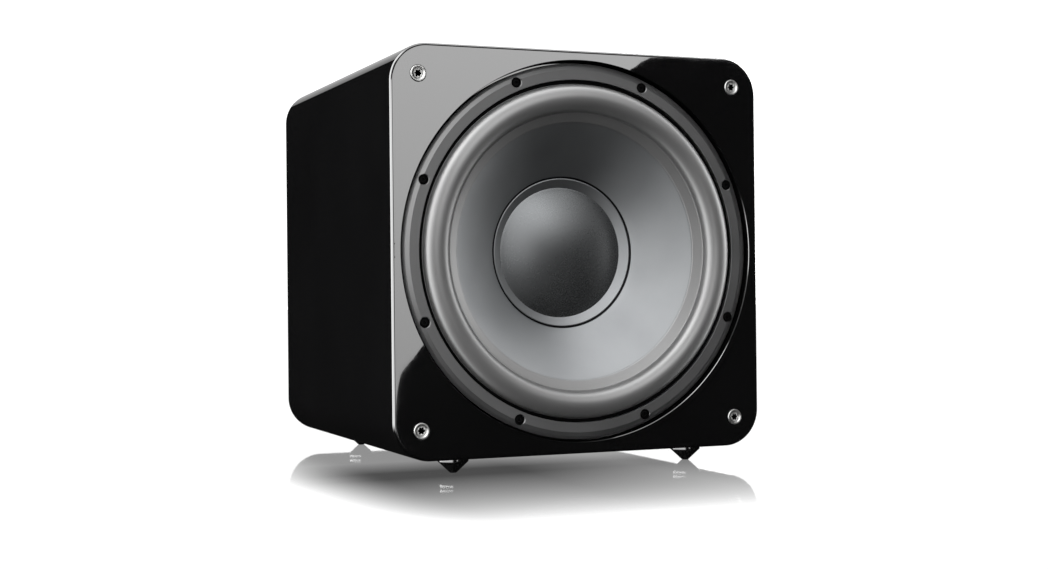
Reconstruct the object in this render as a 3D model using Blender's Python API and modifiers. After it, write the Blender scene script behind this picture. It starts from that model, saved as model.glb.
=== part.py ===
"""A sealed-box powered subwoofer: cabinet, 12-inch class driver and rear amplifier, one object per piece.

Metres, +Z up. The front faces -Y. The origin is on the floor, under the middle of the whole object's box.
"Depth" below is the distance behind the cabinet's front face, towards +Y.
"""

import math

import bmesh
import bpy
from mathutils import Matrix

MM = 0.001

# Cabinet
WIDTH = 330.0 * MM
HEIGHT = 332.3 * MM
DEPTH = 341.0 * MM
CORNER_R = 31.3 * MM
WALL = 18.0 * MM
BAFFLE_T = 21.0 * MM
REAR_T = 18.0 * MM
EDGE_R = 1.8 * MM
GAP = 0.3 * MM  # kept between neighbours that touch in the real object

# Feet
FOOT_H = 12.5 * MM
FOOT_X = 106.5 * MM
FOOT_FRONT = 25.0 * MM  # behind the front face
FOOT_REAR = 54.0 * MM  # ahead of the rear face

# Place of the cabinet in the frame
Y_FRONT = -173.5 * MM
Y_BACK = Y_FRONT + DEPTH
Z_MID = FOOT_H + HEIGHT / 2
Z_DRIVER = Z_MID + 0.8 * MM

# Driver, as radii and depths
RECESS_R, RECESS_D = 157.3, 11.2
CUTOUT_R = 140.0
RING_OUTER, RING_INNER, RING_FACE = 154.0, 141.4, 1.9
SCREW_PCD_R, SCREW_COUNT = 148.4, 8
ROLL_MID, ROLL_HALF, ROLL_CROWN, ROLL_STEPS = 125.9, 12.5, -5.5, 6
CONE_EDGE = (106.6, 10.2)
CONE_SLOPE = 0.723
CAP_EDGE_R, CAP_BASE_R, CAP_BASE_D, CAP_HEIGHT = 62.9, 55.3, 44.9, 9.0
FORMER_R, FORMER_T = 26.0, 1.1
POLE_R = 24.2
GAP_R = 29.3
PLATE_R, MAGNET_R = 62.0, 70.0

# Grille sockets, from the middle of the front face
SOCKET_X, SOCKET_Z = 141.6 * MM, 141.5 * MM

# Amplifier, as heights behind the rear face (positive is outwards)
AMP_W, AMP_H, AMP_T = 200.0 * MM, 250.0 * MM, 3.0 * MM
AMP_HOLE_W, AMP_HOLE_H = 176.0 * MM, 226.0 * MM
CHASSIS_W, CHASSIS_H, CHASSIS_D, CHASSIS_T = 172.0 * MM, 222.0 * MM, 70.0 * MM, 1.5 * MM
KNOB_X, KNOB_Z = (-52.0 * MM, 0.0, 52.0 * MM), 78.0 * MM
RCA_AT = (-46.0 * MM, 18.0 * MM)
LED_AT = (76.0 * MM, 104.0 * MM)
INLET_AT = (40.0 * MM, -92.0 * MM)
ROCKER_AT = (-12.0 * MM, -92.0 * MM)
ROCKER_TILT = math.radians(7.0)
AMP_SCREWS = [(x * MM, z * MM) for x in (-93.0, 93.0) for z in (118.0, 0.0, -118.0)]

SHARP = math.radians(32.0)

for old in list(bpy.data.objects):
    bpy.data.objects.remove(old, do_unlink=True)

parts = bpy.data.collections.new("subwoofer")
helpers = bpy.data.collections.new("cutters")
bpy.context.scene.collection.children.link(parts)
bpy.context.scene.collection.children.link(helpers)


# ---------------------------------------------------------------- materials
def material(name, colour, roughness, metallic=0.0, coat=0.0):
    made = bpy.data.materials.new(name)
    made.use_nodes = True
    shader = made.node_tree.nodes["Principled BSDF"]
    shader.inputs["Base Color"].default_value = (*colour, 1.0)
    shader.inputs["Roughness"].default_value = roughness
    shader.inputs["Metallic"].default_value = metallic
    shader.inputs["Coat Weight"].default_value = coat
    made.diffuse_color = (*colour, 1.0)
    return made


LOOKS = {
    "gloss_black": ((0.004, 0.004, 0.0045), 0.04, 0.0, 1.0),
    "raw_board": ((0.32, 0.23, 0.15), 0.85, 0.0, 0.0),
    "wadding": ((0.55, 0.55, 0.52), 0.95, 0.0, 0.0),
    "ring_black": ((0.02, 0.02, 0.022), 0.38, 0.0, 0.0),
    "rubber_black": ((0.012, 0.012, 0.012), 0.6, 0.0, 0.0),
    "rubber_grey": ((0.06, 0.06, 0.062), 0.42, 0.0, 0.0),
    "cone_grey": ((0.075, 0.078, 0.085), 0.4, 0.3, 0.0),
    "satin_steel": ((0.5, 0.5, 0.5), 0.3, 1.0, 0.0),
    "black_steel": ((0.02, 0.02, 0.02), 0.35, 0.8, 0.0),
    "cast_aluminium": ((0.03, 0.03, 0.032), 0.5, 0.6, 0.0),
    "copper": ((0.6, 0.25, 0.12), 0.35, 1.0, 0.0),
    "spider_cloth": ((0.55, 0.32, 0.08), 0.9, 0.0, 0.0),
    "ferrite": ((0.03, 0.03, 0.03), 0.7, 0.2, 0.0),
    "zinc": ((0.55, 0.55, 0.52), 0.35, 1.0, 0.0),
    "board_green": ((0.02, 0.14, 0.05), 0.5, 0.0, 0.0),
    "plastic_black": ((0.015, 0.015, 0.015), 0.45, 0.0, 0.0),
    "lens_blue": ((0.2, 0.4, 0.9), 0.1, 0.0, 0.0),
    "insulation_red": ((0.45, 0.02, 0.02), 0.5, 0.0, 0.0),
    "insulation_black": ((0.02, 0.02, 0.02), 0.5, 0.0, 0.0),
}


def dressed(obj, look):
    """Gives the object a material of its own."""
    obj.data.materials.clear()
    obj.data.materials.append(material(obj.name, *LOOKS[look]))
    return obj


# ---------------------------------------------------------------- modelling helpers
def finished(obj, look):
    """Applies the object's modifiers, smooths its round faces and keeps its corners sharp."""
    bpy.context.view_layer.update()
    graph = bpy.context.evaluated_depsgraph_get()
    mesh = bpy.data.meshes.new_from_object(obj.evaluated_get(graph))
    obj.modifiers.clear()
    obj.data = mesh
    mesh.name = obj.name
    mesh.shade_smooth()
    mesh.set_sharp_from_angle(angle=SHARP)
    return dressed(obj, look)


def helper(obj):
    """Keeps a cutter or guide out of the object itself."""
    for held in list(obj.users_collection):
        held.objects.unlink(obj)
    helpers.objects.link(obj)
    obj.hide_render = True
    obj.display_type = "WIRE"
    return obj


def combine(obj, other, operation="DIFFERENCE"):
    step = obj.modifiers.new(operation.title(), "BOOLEAN")
    step.operation = operation
    step.solver = "EXACT"
    step.object = other
    return obj


def front(x=0.0, z=Z_DRIVER):
    """Local +Z points out of the front face, from that point on it."""
    return Matrix.Translation((x, Y_FRONT, z)) @ Matrix.Rotation(math.pi / 2, 4, "X")


def rear(x=0.0, z=0.0):
    """Local +Z points out of the rear face, from that point on it. z is from the cabinet's middle."""
    return Matrix.Translation((x, Y_BACK, Z_MID + z)) @ Matrix.Rotation(-math.pi / 2, 4, "X")


def turned(name, profile, steps, place):
    """A profile of (radius, height) in millimetres, turned about local Z.

    It runs outwards along the top, down the outer side and back in underneath.
    It closes on itself unless it starts and ends on the axis.
    """
    mesh = bpy.data.meshes.new(name)
    shape = bmesh.new()
    points = [shape.verts.new((r * MM, 0.0, h * MM)) for r, h in profile]
    for a, b in zip(points, points[1:]):
        shape.edges.new((a, b))
    if profile[0][0] > 0 or profile[-1][0] > 0:
        shape.edges.new((points[-1], points[0]))
    shape.to_mesh(mesh)
    shape.free()
    obj = bpy.data.objects.new(name, mesh)
    obj.matrix_world = place
    parts.objects.link(obj)
    spin = obj.modifiers.new("Screw", "SCREW")
    spin.axis = "Z"
    spin.angle = 2 * math.pi
    spin.screw_offset = 0.0
    spin.steps = steps
    spin.render_steps = steps
    spin.use_merge_vertices = True
    spin.merge_threshold = 0.00001
    spin.use_smooth_shade = False
    return obj


def behind(points):
    """(radius, depth) as (radius, height)."""
    return [(r, -d) for r, d in points]


def flat(name, loops, y0, y1):
    """A flat outline of (x, z) loops in metres, from y0 to y1. Inner loops are holes."""
    curve = bpy.data.curves.new(name, "CURVE")
    curve.dimensions = "2D"
    curve.fill_mode = "BOTH"
    curve.extrude = (y1 - y0) / 2
    for loop in loops:
        spline = curve.splines.new("POLY")
        spline.points.add(len(loop) - 1)
        for point, (x, z) in zip(spline.points, loop):
            point.co = (x, z, 0.0, 1.0)
        spline.use_cyclic_u = True
    outline = bpy.data.objects.new(name + "_outline", curve)
    outline.location = (0.0, (y0 + y1) / 2, 0.0)
    outline.rotation_euler = (math.pi / 2, 0.0, 0.0)
    return meshed(name, outline)


def meshed(name, outline):
    """The mesh of a curve object, with its caps welded on. The curve is removed."""
    helpers.objects.link(outline)
    bpy.context.view_layer.update()
    graph = bpy.context.evaluated_depsgraph_get()
    mesh = bpy.data.meshes.new_from_object(outline.evaluated_get(graph))
    mesh.name = name
    shape = bmesh.new()
    shape.from_mesh(mesh)
    bmesh.ops.remove_doubles(shape, verts=shape.verts, dist=0.000001)
    bmesh.ops.recalc_face_normals(shape, faces=shape.faces)
    shape.to_mesh(mesh)
    shape.free()
    obj = bpy.data.objects.new(name, mesh)
    obj.matrix_world = outline.matrix_world.copy()
    parts.objects.link(obj)
    bpy.data.objects.remove(outline)
    return obj


def rounded(w, h, r, cx=0.0, cz=0.0, steps=4):
    """A rectangle with round corners, as (x, z) points."""
    points = []
    for k, (sx, sz) in enumerate(((1, 1), (-1, 1), (-1, -1), (1, -1))):
        for i in range(steps + 1):
            angle = math.pi / 2 * (k + i / steps)
            points.append(
                (
                    cx + sx * (w / 2 - r) + r * math.cos(angle),
                    cz + sz * (h / 2 - r) + r * math.sin(angle),
                )
            )
    return points


def circle(r, cx=0.0, cz=0.0, steps=12):
    return [
        (cx + r * math.cos(2 * math.pi * i / steps), cz + r * math.sin(2 * math.pi * i / steps))
        for i in range(steps)
    ]


def box(low, high):
    """A box between two corners."""
    bpy.ops.mesh.primitive_cube_add(size=1.0)
    made = bpy.context.active_object
    size = [b - a for a, b in zip(low, high)]
    mid = [(a + b) / 2 for a, b in zip(low, high)]
    made.data.transform(Matrix.Translation(mid) @ Matrix.Diagonal((*size, 1.0)))
    return helper(made)


def box_part(name, low, high):
    made = box(low, high)
    helpers.objects.unlink(made)
    parts.objects.link(made)
    made.hide_render = False
    made.display_type = "TEXTURED"
    made.name = name
    return made


def drills(name, holes, place, steps=12):
    """Several round cutters in one mesh. Each is (x, y, from height, to height, radius at the top, radius at the bottom) in place's frame, in millimetres."""
    mesh = bpy.data.meshes.new(name)
    shape = bmesh.new()
    for x, y, h0, h1, top, bottom in holes:
        bmesh.ops.create_cone(
            shape,
            cap_ends=True,
            segments=steps,
            radius1=bottom * MM,
            radius2=top * MM,
            depth=(h1 - h0) * MM,
            matrix=Matrix.Translation((x * MM, y * MM, (h0 + h1) / 2 * MM)),
        )
    shape.to_mesh(mesh)
    shape.free()
    obj = bpy.data.objects.new(name, mesh)
    obj.matrix_world = place
    return helper(obj)


def around(count, radius, start):
    """(x, y) points evenly round a circle."""
    return [
        (
            radius * math.cos(start + 2 * math.pi * k / count),
            radius * math.sin(start + 2 * math.pi * k / count),
        )
        for k in range(count)
    ]


def smooth_route(points, per_span):
    """Points on a Catmull-Rom curve through the route's own points."""
    ends = [points[0], *points, points[-1]]
    found = []
    for a, b, c, d in zip(ends, ends[1:], ends[2:], ends[3:]):
        for i in range(per_span):
            t = i / per_span
            found.append(
                tuple(
                    0.5
                    * (
                        2 * q
                        + (r - p) * t
                        + (2 * p - 5 * q + 4 * r - s) * t * t
                        + (3 * q - p - 3 * r + s) * t**3
                    )
                    for p, q, r, s in zip(a, b, c, d)
                )
            )
    found.append(points[-1])
    return found


def tube(name, points, radius):
    curve = bpy.data.curves.new(name, "CURVE")
    curve.dimensions = "3D"
    curve.bevel_depth = radius
    curve.bevel_resolution = 2
    curve.use_fill_caps = True
    spline = curve.splines.new("POLY")
    spline.points.add(len(points) - 1)
    for point, co in zip(spline.points, points):
        point.co = (*co, 1.0)
    return meshed(name, bpy.data.objects.new(name + "_route", curve))


# ---------------------------------------------------------------- cabinet
baffle = flat(
    "front_baffle",
    [rounded(WIDTH, HEIGHT, CORNER_R, 0.0, 0.0, 8)],
    Y_FRONT,
    Y_FRONT + BAFFLE_T,
)
baffle.matrix_world = Matrix.Translation((0.0, 0.0, Z_MID)) @ baffle.matrix_world
shape = bmesh.new()
shape.from_mesh(baffle.data)
bmesh.ops.dissolve_limit(shape, angle_limit=0.001, verts=shape.verts, edges=shape.edges)
top = max(v.co.z for v in shape.verts)
rim = [e for e in shape.edges if all(abs(v.co.z - top) < 1e-6 for v in e.verts)]
bmesh.ops.bevel(shape, geom=rim, offset=EDGE_R, segments=2, profile=0.5, affect="EDGES")
shape.to_mesh(baffle.data)
shape.free()
combine(baffle, drills("recess_cut", [(0, 0, -RECESS_D, 5, RECESS_R, RECESS_R)], front(), 48))
combine(baffle, drills("driver_cut", [(0, 0, -40, 5, CUTOUT_R, CUTOUT_R)], front(), 48))
sockets = [(sx * SOCKET_X / MM, sz * SOCKET_Z / MM) for sz in (1, -1) for sx in (-1, 1)]
combine(
    baffle,
    drills("socket_seat_cut", [(x, z, -1.1, 4, 6.9, 6.9) for x, z in sockets], front(z=Z_MID)),
)
combine(
    baffle,
    drills("socket_bore_cut", [(x, z, -14.0, 4, 5.5, 5.5) for x, z in sockets], front(z=Z_MID)),
)
SCREWS = around(SCREW_COUNT, SCREW_PCD_R, math.radians(22.5))
combine(
    baffle,
    drills("pilot_cut", [(x, z, -23.5, -8, 2.6, 2.6) for x, z in SCREWS], front(), 8),
)
finished(baffle, "gloss_black")

shell = flat(
    "cabinet_shell",
    [
        rounded(WIDTH, HEIGHT, CORNER_R, 0.0, 0.0, 8),
        rounded(WIDTH - 2 * WALL, HEIGHT - 2 * WALL, CORNER_R - WALL, 0.0, 0.0, 4),
    ],
    Y_FRONT + BAFFLE_T + GAP,
    Y_BACK,
)
shell.matrix_world = Matrix.Translation((0.0, 0.0, Z_MID)) @ shell.matrix_world
FEET = {
    "foot_front_left": (-FOOT_X, Y_FRONT + FOOT_FRONT),
    "foot_front_right": (FOOT_X, Y_FRONT + FOOT_FRONT),
    "foot_rear_left": (-FOOT_X, Y_BACK - FOOT_REAR),
    "foot_rear_right": (FOOT_X, Y_BACK - FOOT_REAR),
}
combine(
    shell,
    drills(
        "foot_bore_cut",
        [(x / MM, y / MM, -5, 13.0, 3.5, 3.5) for x, y in FEET.values() if y > 0],
        Matrix.Translation((0.0, 0.0, FOOT_H)),
        8,
    ),
)
finished(shell, "gloss_black")
FRONT_BORE = drills(
    "front_foot_bore_cut",
    [(x / MM, y / MM, -5, 13.0, 3.5, 3.5) for x, y in FEET.values() if y < 0],
    Matrix.Translation((0.0, 0.0, FOOT_H)),
    8,
)
combine(shell, FRONT_BORE)
combine(baffle, FRONT_BORE)
finished(shell, "gloss_black")
finished(baffle, "gloss_black")

INNER_W, INNER_H = WIDTH - 2 * WALL - 2 * GAP, HEIGHT - 2 * WALL - 2 * GAP
INNER_R = CORNER_R - WALL - GAP
panel = flat(
    "rear_panel",
    [
        rounded(INNER_W, INNER_H, INNER_R),
        rounded(AMP_HOLE_W, AMP_HOLE_H, 6 * MM, 0, 0, 2),
        *[circle(1.75 * MM, x, z, 8) for x, z in AMP_SCREWS],
    ],
    Y_BACK - REAR_T,
    Y_BACK,
)
panel.matrix_world = Matrix.Translation((0.0, 0.0, Z_MID)) @ panel.matrix_world
finished(panel, "gloss_black")

WINDOW_W, WINDOW_H = 113.0 * MM, 114.0 * MM
brace = flat(
    "brace",
    [
        rounded(INNER_W, INNER_H, INNER_R),
        *[
            rounded(
                WINDOW_W, WINDOW_H, 22 * MM, sx * (12 * MM + WINDOW_W / 2), sz * (12 * MM + WINDOW_H / 2), 3
            )
            for sx in (-1, 1)
            for sz in (-1, 1)
        ],
    ],
    2.0 * MM,
    20.0 * MM,
)
brace.matrix_world = Matrix.Translation((0.0, 0.0, Z_MID)) @ brace.matrix_world
finished(brace, "raw_board")

wx, wz, cut, thick = INNER_W / 2 - 0.3 * MM, INNER_H / 2 - 0.3 * MM, 13 * MM, 14 * MM
lining = flat(
    "lining",
    [
        [
            (-wx, -0.9 * wz), (-wx, wz - cut), (-wx + cut, wz), (wx - cut, wz), (wx, wz - cut), (wx, -0.9 * wz),
            (wx - thick, -0.9 * wz), (wx - thick, wz - cut - 6 * MM), (wx - cut - 6 * MM, wz - thick),
            (-wx + cut + 6 * MM, wz - thick), (-wx + thick, wz - cut - 6 * MM), (-wx + thick, -0.9 * wz),
        ]
    ],
    24.0 * MM,
    142.0 * MM,
)
lining.matrix_world = Matrix.Translation((0.0, 0.0, Z_MID)) @ lining.matrix_world
finished(lining, "wadding")

# ---------------------------------------------------------------- feet
FOOT = [
    (0, 11.5), (3.0, 11.5), (3.0, -0.3), (12.6, -0.3), (12.6, -3.3), (12.0, -3.7), (2.8, -12.5), (0, -12.5),
]
for name, (x, y) in FEET.items():
    finished(turned(name, FOOT, 14, Matrix.Translation((x, y, FOOT_H))), "gloss_black")

# ---------------------------------------------------------------- grille sockets
RING = behind(
    [
        (3.9, -0.5), (4.8, -0.5), (5.4, -0.9), (6.2, -0.9), (6.5, -0.6), (6.5, 0.8), (5.0, 0.8),
        (5.0, 12.6), (3.9, 12.6),
    ]
)
for tag, (x, z) in zip(("top_left", "top_right", "bottom_left", "bottom_right"), sockets):
    x, z = x * MM, Z_MID + z * MM
    finished(turned("socket_ring_" + tag, RING, 12, front(x, z)), "satin_steel")
    star = [
        (
            x + r * MM * math.cos(math.pi * k / 6),
            z + r * MM * math.sin(math.pi * k / 6),
        )
        for k in range(12)
        for r in [3.0 if k % 2 == 0 else 2.1]
    ]
    insert = flat(
        "socket_insert_" + tag,
        [circle(3.55 * MM, x, z, 12), star],
        Y_FRONT - 0.1 * MM,
        Y_FRONT + 12.4 * MM,
    )
    finished(insert, "rubber_black")

# ---------------------------------------------------------------- driver: fixed pieces
ring = turned(
    "trim_ring",
    behind(
        [
            (RING_INNER, 2.2), (141.8, RING_FACE), (150.0, RING_FACE), (151.9, 2.3), (153.4, 3.4),
            (RING_OUTER, 5.1), (RING_INNER, 5.1),
        ]
    ),
    48,
    front(),
)
combine(ring, drills("ring_hole_cut", [(x, z, -8, 2, 4.0, 4.0) for x, z in SCREWS], front()))
combine(
    ring,
    drills("ring_chamfer_cut", [(x, z, -2.6, -1.7, 4.8, 3.9) for x, z in SCREWS], front()),
)
finished(ring, "ring_black")

basket = turned(
    "basket",
    behind(
        [
            (34.0, 94.0), (66.0, 94.0), (77.5, 76.5), (91.0, 76.5), (93.0, 72.0), (130.5, 12.0),
            (136.0, 5.4), (153.5, 5.4), (153.5, 9.4), (139.0, 9.4), (97.0, 75.0), (94.0, 81.0),
            (80.5, 81.0), (70.0, 98.0), (34.0, 98.0),
        ]
    ),
    32,
    front(),
)
mesh = bpy.data.meshes.new("window_cut")
shape = bmesh.new()
for k in range(6):
    made = bmesh.ops.create_cube(shape, size=1.0)["verts"]
    reach, spread = (60 * MM, 185 * MM), math.tan(math.radians(22.0))
    for v in made:
        r = reach[1] if v.co.x > 0 else reach[0]
        v.co = (r, math.copysign(r * spread, v.co.y), -(23 if v.co.z > 0 else 69) * MM)
    bmesh.ops.rotate(
        shape, verts=made, cent=(0, 0, 0), matrix=Matrix.Rotation(math.pi / 3 * k, 3, "Z")
    )
shape.to_mesh(mesh)
shape.free()
windows = bpy.data.objects.new("window_cut", mesh)
windows.matrix_world = front()
combine(basket, helper(windows))
combine(basket, drills("flange_hole_cut", [(x, z, -12, -2, 2.6, 2.6) for x, z in SCREWS], front(), 8))
finished(basket, "cast_aluminium")

finished(
    turned("gasket", behind([(140.5, 9.7), (145.2, 9.7), (145.2, 10.9), (140.5, 10.9)]), 32, front()),
    "rubber_black",
)

hexagon = drills("hex_cut", [(0, 0, -4.2, 0, 1.7, 1.7)], Matrix.Identity(4), 6)
screw = turned(
    "driver_screw_1",
    behind([(0, 2.5), (3.4, 2.5), (3.4, 5.1), (2.0, 5.1), (2.0, 20.0), (0, 20.0)]),
    9,
    Matrix.Identity(4),
)
combine(screw, hexagon)
finished(screw, "black_steel")
screw.matrix_world = front(SCREWS[0][0] * MM, Z_DRIVER + SCREWS[0][1] * MM)
for k, (x, z) in enumerate(SCREWS[1:], 2):
    copy = bpy.data.objects.new(f"driver_screw_{k}", screw.data)
    copy.matrix_world = front(x * MM, Z_DRIVER + z * MM)
    parts.objects.link(copy)

finished(
    turned(
        "top_plate",
        behind([(GAP_R, 98.3), (PLATE_R, 98.3), (PLATE_R, 107.3), (GAP_R, 107.3)]),
        24,
        front(),
    ),
    "zinc",
)
finished(
    turned(
        "magnet",
        behind([(37.0, 107.6), (MAGNET_R - 1.5, 107.6), (MAGNET_R, 109.1), (MAGNET_R, 142.1), (MAGNET_R - 1.5, 143.6), (37.0, 143.6)]),
        24,
        front(),
    ),
    "ferrite",
)
finished(
    turned(
        "yoke",
        behind(
            [
                (9.0, 97.5), (POLE_R - 1, 97.5), (POLE_R, 98.5), (POLE_R, 143.9), (PLATE_R, 143.9),
                (PLATE_R, 152.4), (PLATE_R - 1.5, 153.9), (9.0, 153.9),
            ]
        ),
        24,
        front(),
    ),
    "zinc",
)

# Terminal block, on the flat ring behind the spider's seat
block_y = Y_FRONT + 81.4 * MM
block = box_part(
    "terminal_block",
    (82.5 * MM, block_y, Z_DRIVER - 13 * MM),
    (92.5 * MM, block_y + 6.0 * MM, Z_DRIVER + 13 * MM),
)
for side in (-1, 1):
    z = Z_DRIVER + side * 7.0 * MM
    combine(
        block,
        box(
            (90.0 * MM, block_y + 2.8 * MM, z - 3.1 * MM),
            (101.0 * MM, block_y + 3.6 * MM, z + 3.1 * MM),
        ),
        "UNION",
    )
finished(block, "plastic_black")

# ---------------------------------------------------------------- driver: moving assembly and its suspension
def cone_front(r):
    return CONE_EDGE[1] + (CONE_EDGE[0] - r) * CONE_SLOPE


roll = []
under = []
for k in range(ROLL_STEPS + 1):
    t = math.pi * k / ROLL_STEPS
    foot = 4.3 - 0.9 * math.cos(t)
    rise = (foot - ROLL_CROWN) * math.sin(t)
    roll.append((ROLL_MID + ROLL_HALF * math.cos(t), foot - rise))
    under.append((ROLL_MID + (ROLL_HALF - 1.2) * math.cos(t), foot + 1.2 - rise))
outer_side = [(106.9, 8.9), (109.6, 7.2), *roll[::-1], (140.8, 3.4)]
finished(
    turned(
        "surround",
        behind([*outer_side, (140.8, 5.1), (137.4, 5.1), *under[1:], (109.6, 8.2), (106.9, 9.7)]),
        40,
        front(),
    ),
    "rubber_grey",
)

edge_r, edge_d = CONE_EDGE
NECK_R = FORMER_R + 0.3
finished(
    turned(
        "cone",
        behind(
            [
                (NECK_R, cone_front(NECK_R)), (edge_r, edge_d), (109.6, 8.6), (113.0, 7.4),
                (113.0, 9.0), (107.2, 12.0), (NECK_R, cone_front(NECK_R) + 1.9),
            ]
        ),
        40,
        front(),
    ),
    "cone_grey",
)

dome_r = (CAP_BASE_R**2 + CAP_HEIGHT**2) / (2 * CAP_HEIGHT)


def dome(r, thickness=0.0):
    return CAP_BASE_D - CAP_HEIGHT + dome_r - math.sqrt(dome_r**2 - r * r) + thickness


finished(
    turned(
        "dust_cap",
        behind(
            [
                (0, dome(0)), *[(r, dome(r)) for r in (22, 41)], (CAP_BASE_R, CAP_BASE_D),
                (CAP_EDGE_R, 40.0), (CAP_EDGE_R, 41.1), (CAP_BASE_R, CAP_BASE_D + 1.5),
                *[(r, dome(r, 1.5)) for r in (41, 22)], (0, dome(0, 1.5)),
            ]
        ),
        40,
        front(),
    ),
    "cone_grey",
)

finished(
    turned(
        "coil_former",
        behind(
            [
                (FORMER_R - FORMER_T, 64.0), (FORMER_R, 64.0), (FORMER_R, 120.0), (FORMER_R - FORMER_T, 120.0),
            ]
        ),
        24,
        front(),
    ),
    "cast_aluminium",
)
finished(
    turned("coil_winding", behind([(NECK_R + 0.3, 89.0), (28.5, 89.0), (28.5, 117.0), (NECK_R + 0.3, 117.0)]), 24, front()),
    "copper",
)

waves = []
for k in range(7):
    waves.append((31.5 + 7.3 * k, 77.2 + (2.3 if k % 2 else -2.3)))
finished(
    turned(
        "spider",
        behind(
            [
                (26.7, 74.0), (27.6, 74.0), *waves, (79.0, 75.2), (89.5, 75.2), (89.5, 76.2), (78.8, 76.2),
                *[(r, d + 1.0) for r, d in waves[::-1]], (26.7, 78.2),
            ]
        ),
        28,
        front(),
    ),
    "spider_cloth",
)

for tag, side in (("pos", 1), ("neg", -1)):
    z = Z_DRIVER + side * 7.0 * MM
    route = [
        (96.0, 82.7), (106.0, 78.0), (107.0, 65.0), (94.0, 57.5), (74.0, 61.0), (60.5, 56.5), (57.2, 51.0),
    ]
    lead = tube(
        "tinsel_lead_" + tag,
        smooth_route([(x * MM, Y_FRONT + d * MM, z) for x, d in route], 2),
        0.9 * MM,
    )
    finished(lead, "copper")

# ---------------------------------------------------------------- amplifier
amp = flat(
    "amp_plate",
    [
        rounded(AMP_W, AMP_H, 6 * MM, 0, 0, 3),
        *[circle(4.0 * MM, x, KNOB_Z) for x in KNOB_X],
        rounded(27.0 * MM, 12.0 * MM, 0.4 * MM, *RCA_AT, 1),
        circle(3.1 * MM, *LED_AT),
        rounded(28.0 * MM, 21.0 * MM, 0.4 * MM, *INLET_AT, 1),
        rounded(13.4 * MM, 19.4 * MM, 0.4 * MM, *ROCKER_AT, 1),
        *[circle(1.9 * MM, x, z, 8) for x, z in AMP_SCREWS],
    ],
    Y_BACK + GAP,
    Y_BACK + GAP + AMP_T,
)
amp.matrix_world = Matrix.Translation((0.0, 0.0, Z_MID)) @ amp.matrix_world
finished(amp, "plastic_black")

chassis = box_part(
    "amp_chassis",
    (-CHASSIS_W / 2, Y_BACK - CHASSIS_D, Z_MID - CHASSIS_H / 2),
    (CHASSIS_W / 2, Y_BACK, Z_MID + CHASSIS_H / 2),
)
combine(
    chassis,
    box(
        (-CHASSIS_W / 2 + CHASSIS_T, Y_BACK - CHASSIS_D + CHASSIS_T, Z_MID - CHASSIS_H / 2 + CHASSIS_T),
        (CHASSIS_W / 2 - CHASSIS_T, Y_BACK + 5 * MM, Z_MID + CHASSIS_H / 2 - CHASSIS_T),
    ),
)
finished(chassis, "zinc")

board = box_part(
    "amp_board",
    (-75 * MM, Y_BACK - 19.6 * MM, Z_MID - 15 * MM),
    (75 * MM, Y_BACK - 18.0 * MM, Z_MID + 98 * MM),
)
for x in KNOB_X:
    combine(
        board,
        box(
            (x - 8 * MM, Y_BACK - 19.0 * MM, Z_MID + KNOB_Z - 9 * MM),
            (x + 8 * MM, Y_BACK - 14.6 * MM, Z_MID + KNOB_Z + 9 * MM),
        ),
        "UNION",
    )
combine(
    board,
    box(
        (24 * MM, Y_BACK - 60 * MM, Z_MID - 10 * MM),
        (72 * MM, Y_BACK - 19.0 * MM, Z_MID + 56 * MM),
    ),
    "UNION",
)
combine(
    board,
    drills("capacitors", [(-44, -24, -56, -19, 15, 15), (-8, -24, -56, -19, 15, 15)], rear(), 16),
    "UNION",
)
finished(board, "board_green")

finished(
    turned(
        "transformer",
        [
            (15.0, -36.0), (36.0, -36.0), (40.0, -40.0), (40.0, -64.0), (36.0, -68.2), (15.0, -68.2),
        ],
        20,
        rear(-18 * MM, -60 * MM),
    ),
    "copper",
)

# Mains inlet: a flanged cup with three blades
ix, iz = INLET_AT
inlet = box_part(
    "iec_inlet",
    (ix - 16.5 * MM, Y_BACK + 3.6 * MM, Z_MID + iz - 13.0 * MM),
    (ix + 16.5 * MM, Y_BACK + 5.6 * MM, Z_MID + iz + 13.0 * MM),
)
combine(
    inlet,
    box(
        (ix - 13.6 * MM, Y_BACK - 17.0 * MM, Z_MID + iz - 10.1 * MM),
        (ix + 13.6 * MM, Y_BACK + 4.0 * MM, Z_MID + iz + 10.1 * MM),
    ),
    "UNION",
)
hw, hh, c = 12.2 * MM, 8.2 * MM, 4.0 * MM
cup = flat(
    "inlet_cut",
    [[(-hw, -hh), (hw, -hh), (hw, hh - c), (hw - c, hh), (-hw + c, hh), (-hw, hh - c)]],
    Y_BACK - 11.0 * MM,
    Y_BACK + 9.0 * MM,
)
cup.matrix_world = Matrix.Translation((ix, 0.0, Z_MID + iz)) @ cup.matrix_world
combine(inlet, helper(cup))
for bx, bz in ((-7.0, -1.5), (0.0, 2.5), (7.0, -1.5)):
    combine(
        inlet,
        box(
            (ix + (bx - 1.0) * MM, Y_BACK - 12.0 * MM, Z_MID + iz + (bz - 2.0) * MM),
            (ix + (bx + 1.0) * MM, Y_BACK + 0.4 * MM, Z_MID + iz + (bz + 2.0) * MM),
        ),
        "UNION",
    )
finished(inlet, "plastic_black")

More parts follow.
